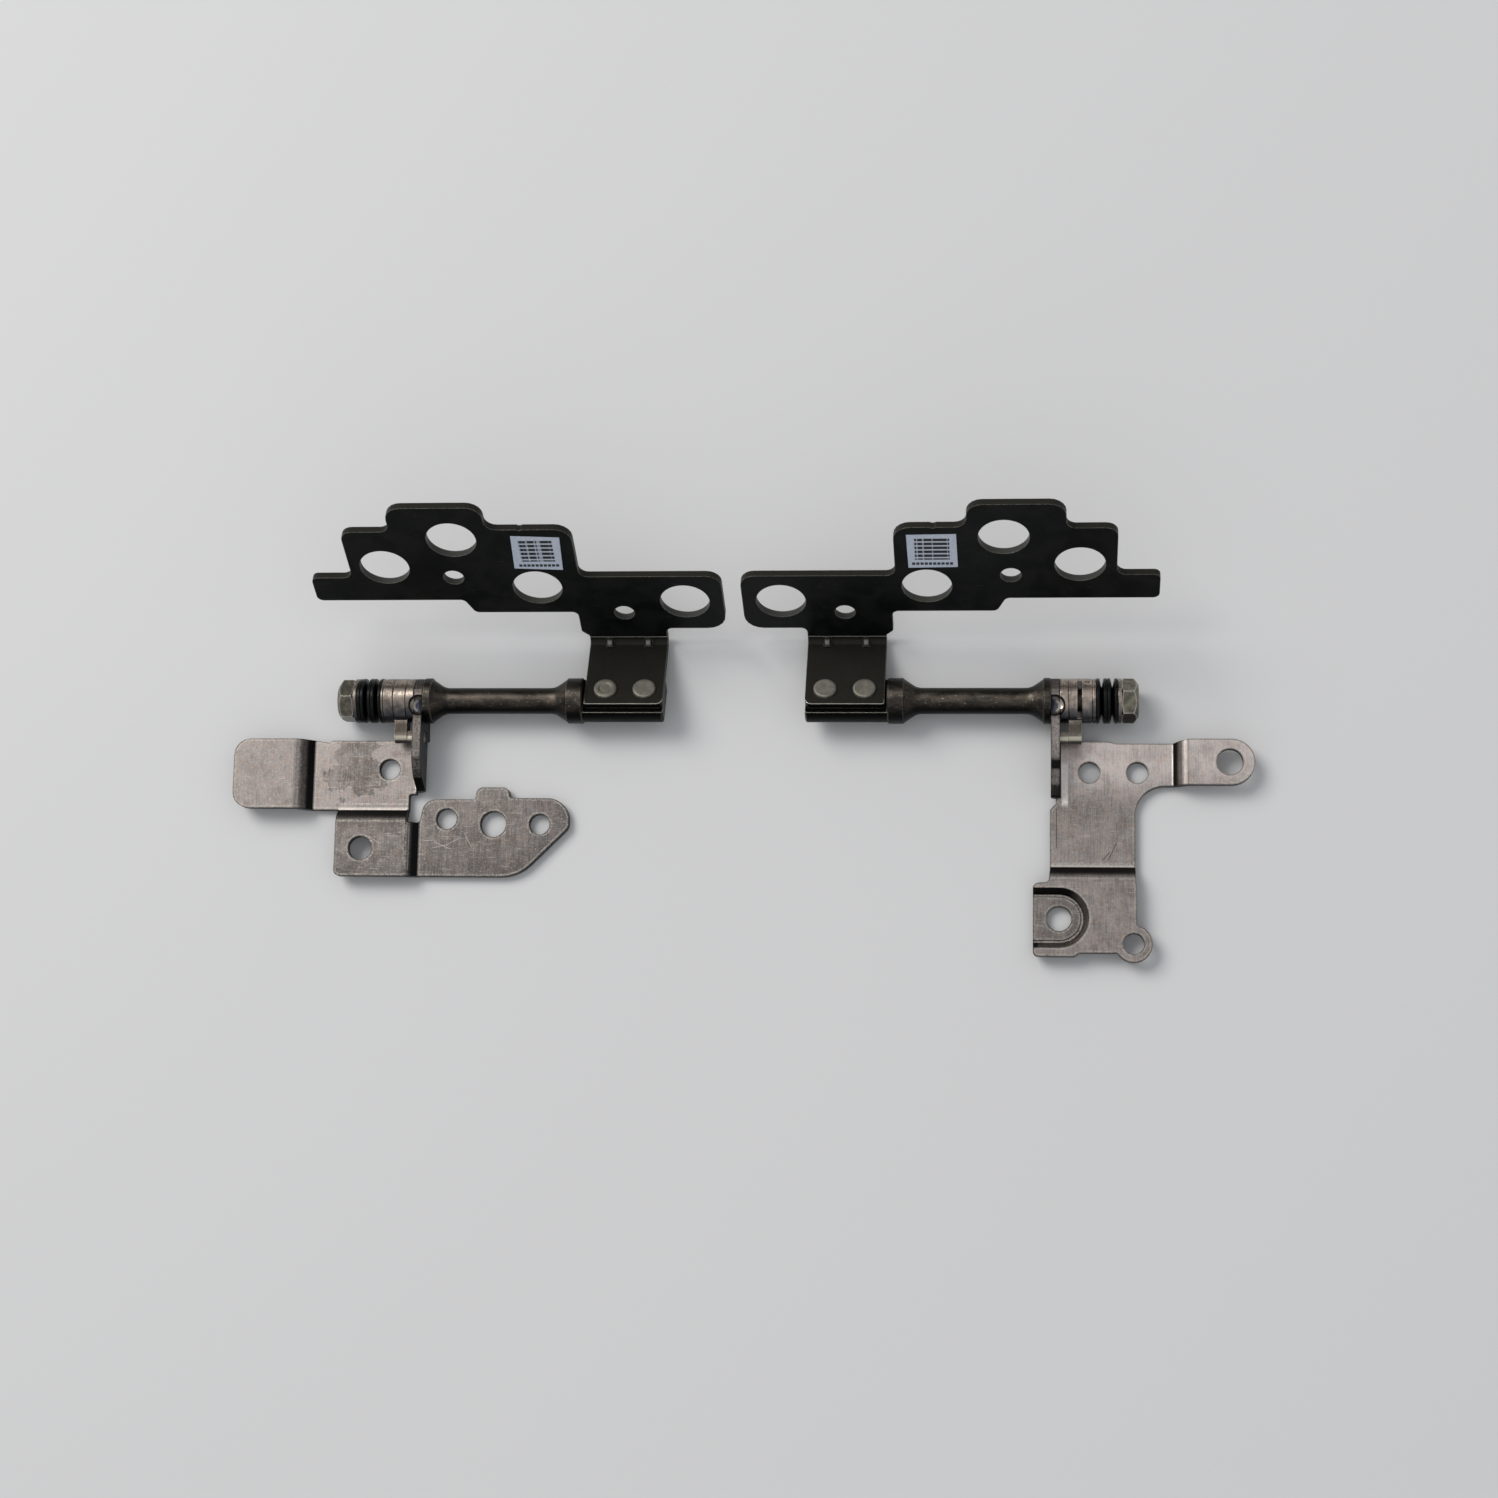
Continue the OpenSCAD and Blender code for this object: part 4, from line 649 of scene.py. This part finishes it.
class LidBlack(Shader):
    """Black plated sheet: faint olive sheen, gray cut faces, thin worn edges, and painted light on the tab,
    in the holes and along the tab's front edge.
    """

    def __init__(self):
        super().__init__("lid_black")
        self.x = self.place(X_AXIS)
        self.q = self.place(ALONG_TAB, AXIS)
        self.h = self.place(OFF_TAB, AXIS)
        self.on_tab = self.ramp(self.h, *TAB_END_H, 1, 0)
        self.sheen = self.noise(0.25, detail=4, distort=0.6)
        self.grain = self.noise(4, detail=4)
        self.fine = self.noise(9, detail=2)
        at_edge = self.edges(0.24)
        broken = self.all_of(self.ramp(self.grain, 0.36, 0.56, 0.2, 0.8),
                             self.ramp(self.fine, 0.35, 0.6, 0.5, 1))
        in_front = self.ramp(self.q, *TAB_FRONT_EDGE_Q, 1, 0)
        self.worn = self.all_of(at_edge, self.any_of(broken, in_front))
        self.front_edge_highlight = self.all_of(at_edge, in_front)

    def plating(self):
        """Black plate and a tab painted lighter and browner as the light falls on it, with gray specks and
        fine scratches two ways.
        """
        brush = self.noise((6, 0.3, 0.3), detail=3)
        plate = self.mix(self.ramp(self.sheen, 0.38, 0.62), srgb(9, 11, 11), srgb(20, 22, 20))
        tab = self.mix(self.ramp(brush, 0.35, 0.65), srgb(37, 37, 34), srgb(41, 39, 35))
        # Painted light: the tab lighter and browner than the upright plate
        color = self.mix(self.on_tab, plate, tab)
        color = self.mix(self.ramp(self.grain, 0.62, 0.75, 0, 0.3), color, srgb(64, 61, 54))
        for turn, shift in ((12, (2, 8, 0)), (-35, (6, 1, 0))):
            scratch = self.scratches(turn, shift, 0.72, length=2.2, width=0.06)
            color = self.paint(scratch, 0.35, color, srgb(112, 108, 98))
        return color

    def cut_faces(self, color):
        """Gray cut faces of the plate, painted lighter in its holes as the light falls there, and the tab's
        black front.
        """
        face, hole_wall_lit, front = srgb(34, 33, 29), srgb(64, 64, 61), srgb(8, 8, 8)
        in_plate = self.ramp(self.q, *PLATE_FACE_Q)
        cut = self.all_of(in_plate, self.ramp(self.facing(ALONG_TAB), 0.5, 0.8, 1, 0))
        in_hole = 0.0
        for hole_x, hole_h, radius in LID_HOLES:
            far = self.distance(self.math("SUBTRACT", self.from_middle(), hole_x),
                                self.math("SUBTRACT", self.h, hole_h))
            in_hole = self.any_of(in_hole, self.ramp(far, radius + HOLE_WALL[0], radius + HOLE_WALL[1], 1, 0))
        # Painted light on the walls of the holes
        color = self.mix(cut, color, self.mix(in_hole, face, hole_wall_lit))
        at_front = self.ramp(self.q, *TAB_FRONT_Q, 1, 0)
        return self.mix(self.all_of(at_front, self.ramp(self.facing(OFF_TAB), 0.5, 0.8, 1, 0)), color, front)

    def worn_edges(self, color):
        """Worn edges: full along the tab's front, broken elsewhere, with a painted highlight along the front
        one.
        """
        color = self.paint(self.worn, 0.85, color, srgb(160, 156, 146))
        # Painted highlight along the tab's front edge
        return self.mix(self.front_edge_highlight, color, srgb(228, 222, 208))

    def bends(self, color):
        """Light crease where the tab meets the plate, and the two gusset beads in it."""
        crease = self.all_of(self.band(self.h, *CREASE_H, 0.08), self.band(self.q, *CREASE_Q, 0.05),
                             self.ramp(self.fine, 0.35, 0.55, 0.4, 1))
        color = self.mix(crease, color, srgb(150, 148, 138))
        for at in GUSSETS_X:
            bead = self.all_of(self.band(self.x, at - GUSSET_HALF_WIDTH, at + GUSSET_HALF_WIDTH, 0.3),
                               self.band(self.h, *GUSSET_H, 0.3), self.band(self.q, *GUSSET_Q, 0.3))
            color = self.paint(bead, 0.7, color, srgb(150, 146, 138))
        return color


def lid_black():
    """The lid brackets' plated sheet, layer by layer."""
    s = LidBlack()
    color = s.bends(s.worn_edges(s.cut_faces(s.plating())))
    metal = s.any_of(s.math("MULTIPLY", s.worn, 0.9), s.math("MULTIPLY", s.on_tab, 0.35))
    rough = s.ramp(s.sheen, 0.3, 0.7, 0.34, 0.44)
    relief = s.bump(s.grain, 0.12, 0.02, s.rounded(0.09))
    return s.set(Base_Color=color, Metallic=metal, Roughness=rough, Specular_IOR_Level=0.09, Normal=relief)


def label_film():
    """Pale film with a generic print: rows of plain dark bars and a thin line below."""
    s = Shader("label_film")
    up = s.math("SUBTRACT", s.place(OFF_TAB, AXIS), LABEL_H)
    across = s.math("SUBTRACT", s.from_middle(LABELS_MIDDLE), LABEL_X)
    grain = s.noise(4, detail=3)
    color = s.mix(s.ramp(grain, 0.3, 0.7), srgb(186, 195, 210), srgb(206, 214, 228))
    rows = s.ramp(s.math("PINGPONG", s.math("ADD", up, ROW_START), ROW_HALF_STEP), *ROW_BAR, 1, 0)
    gaps = s.ramp(s.noise((2.6, 0.01, 0.01), detail=1, shift=(3, 0, 0)), 0.4, 0.44, 0.35, 1)
    block = s.all_of(s.band(across, *PRINT_X, 0.05), s.band(up, *PRINT_H, 0.05))
    color = s.mix(s.all_of(block, rows, gaps), color, srgb(16, 17, 22))
    dashes = s.ramp(s.math("PINGPONG", across, DASH_HALF_STEP), *DASH)
    line = s.all_of(s.band(across, *LINE_X, 0.05), s.band(up, *LINE_H, 0.05), dashes)
    return s.set(Base_Color=s.mix(line, color, srgb(30, 32, 38)), Roughness=0.45)


def floor():
    """Plain pale floor under the part."""
    data = bpy.data.meshes.new("floor")
    half = FLOOR_SIZE / 2
    corners = [(-half, -half, 0), (half, -half, 0), (half, half, 0), (-half, half, 0)]
    data.from_pydata(corners, [], [(0, 1, 2, 3)])
    obj = bpy.data.objects.new("floor", data)
    bpy.context.scene.collection.objects.link(obj)
    data.materials.append(Shader("floor").set(Base_Color=FLOOR_COLOR, Roughness=0.6))


def make_materials():
    """Material of each kind of piece, by the piece's name without its side and number."""
    bright, black = turned_steel(), spring_black()
    rivet = rough_metal("rivet_steel", srgb(112, 110, 101), srgb(128, 125, 115), 0.62, 0, 0.66)
    nut = rough_metal("nut_steel", srgb(92, 90, 80), srgb(132, 128, 112), 0.26, 0.8, 0.88)
    return {"base_bracket": base_steel(), "hinge_shaft": black_shaft(), "lid_bracket": lid_black(),
            "spacer_washer": bright, "stop_cam": bright, "stop_washer": bright, "thin_washer": bright,
            "end_washer": bright, "disc_spring": black, "backing_washer": black,
            "tab_rivet": rivet, "nut": nut, "label": label_film()}


def dress(name, obj, materials):
    """Gives a piece its material."""
    kind = name.split("_", 1)[1].rstrip("_1234")
    obj.data.materials.clear()
    obj.data.materials.append(materials[kind])


bpy.context.scene.view_settings.view_transform = "Standard"
camera()
world_light()
area_light("key", KEY_PLACE, KEY_SIZE, KEY_POWER, KEY_COLOR)
floor()
MATERIALS = make_materials()
for name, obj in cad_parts.items():
    dress(name, obj, MATERIALS)
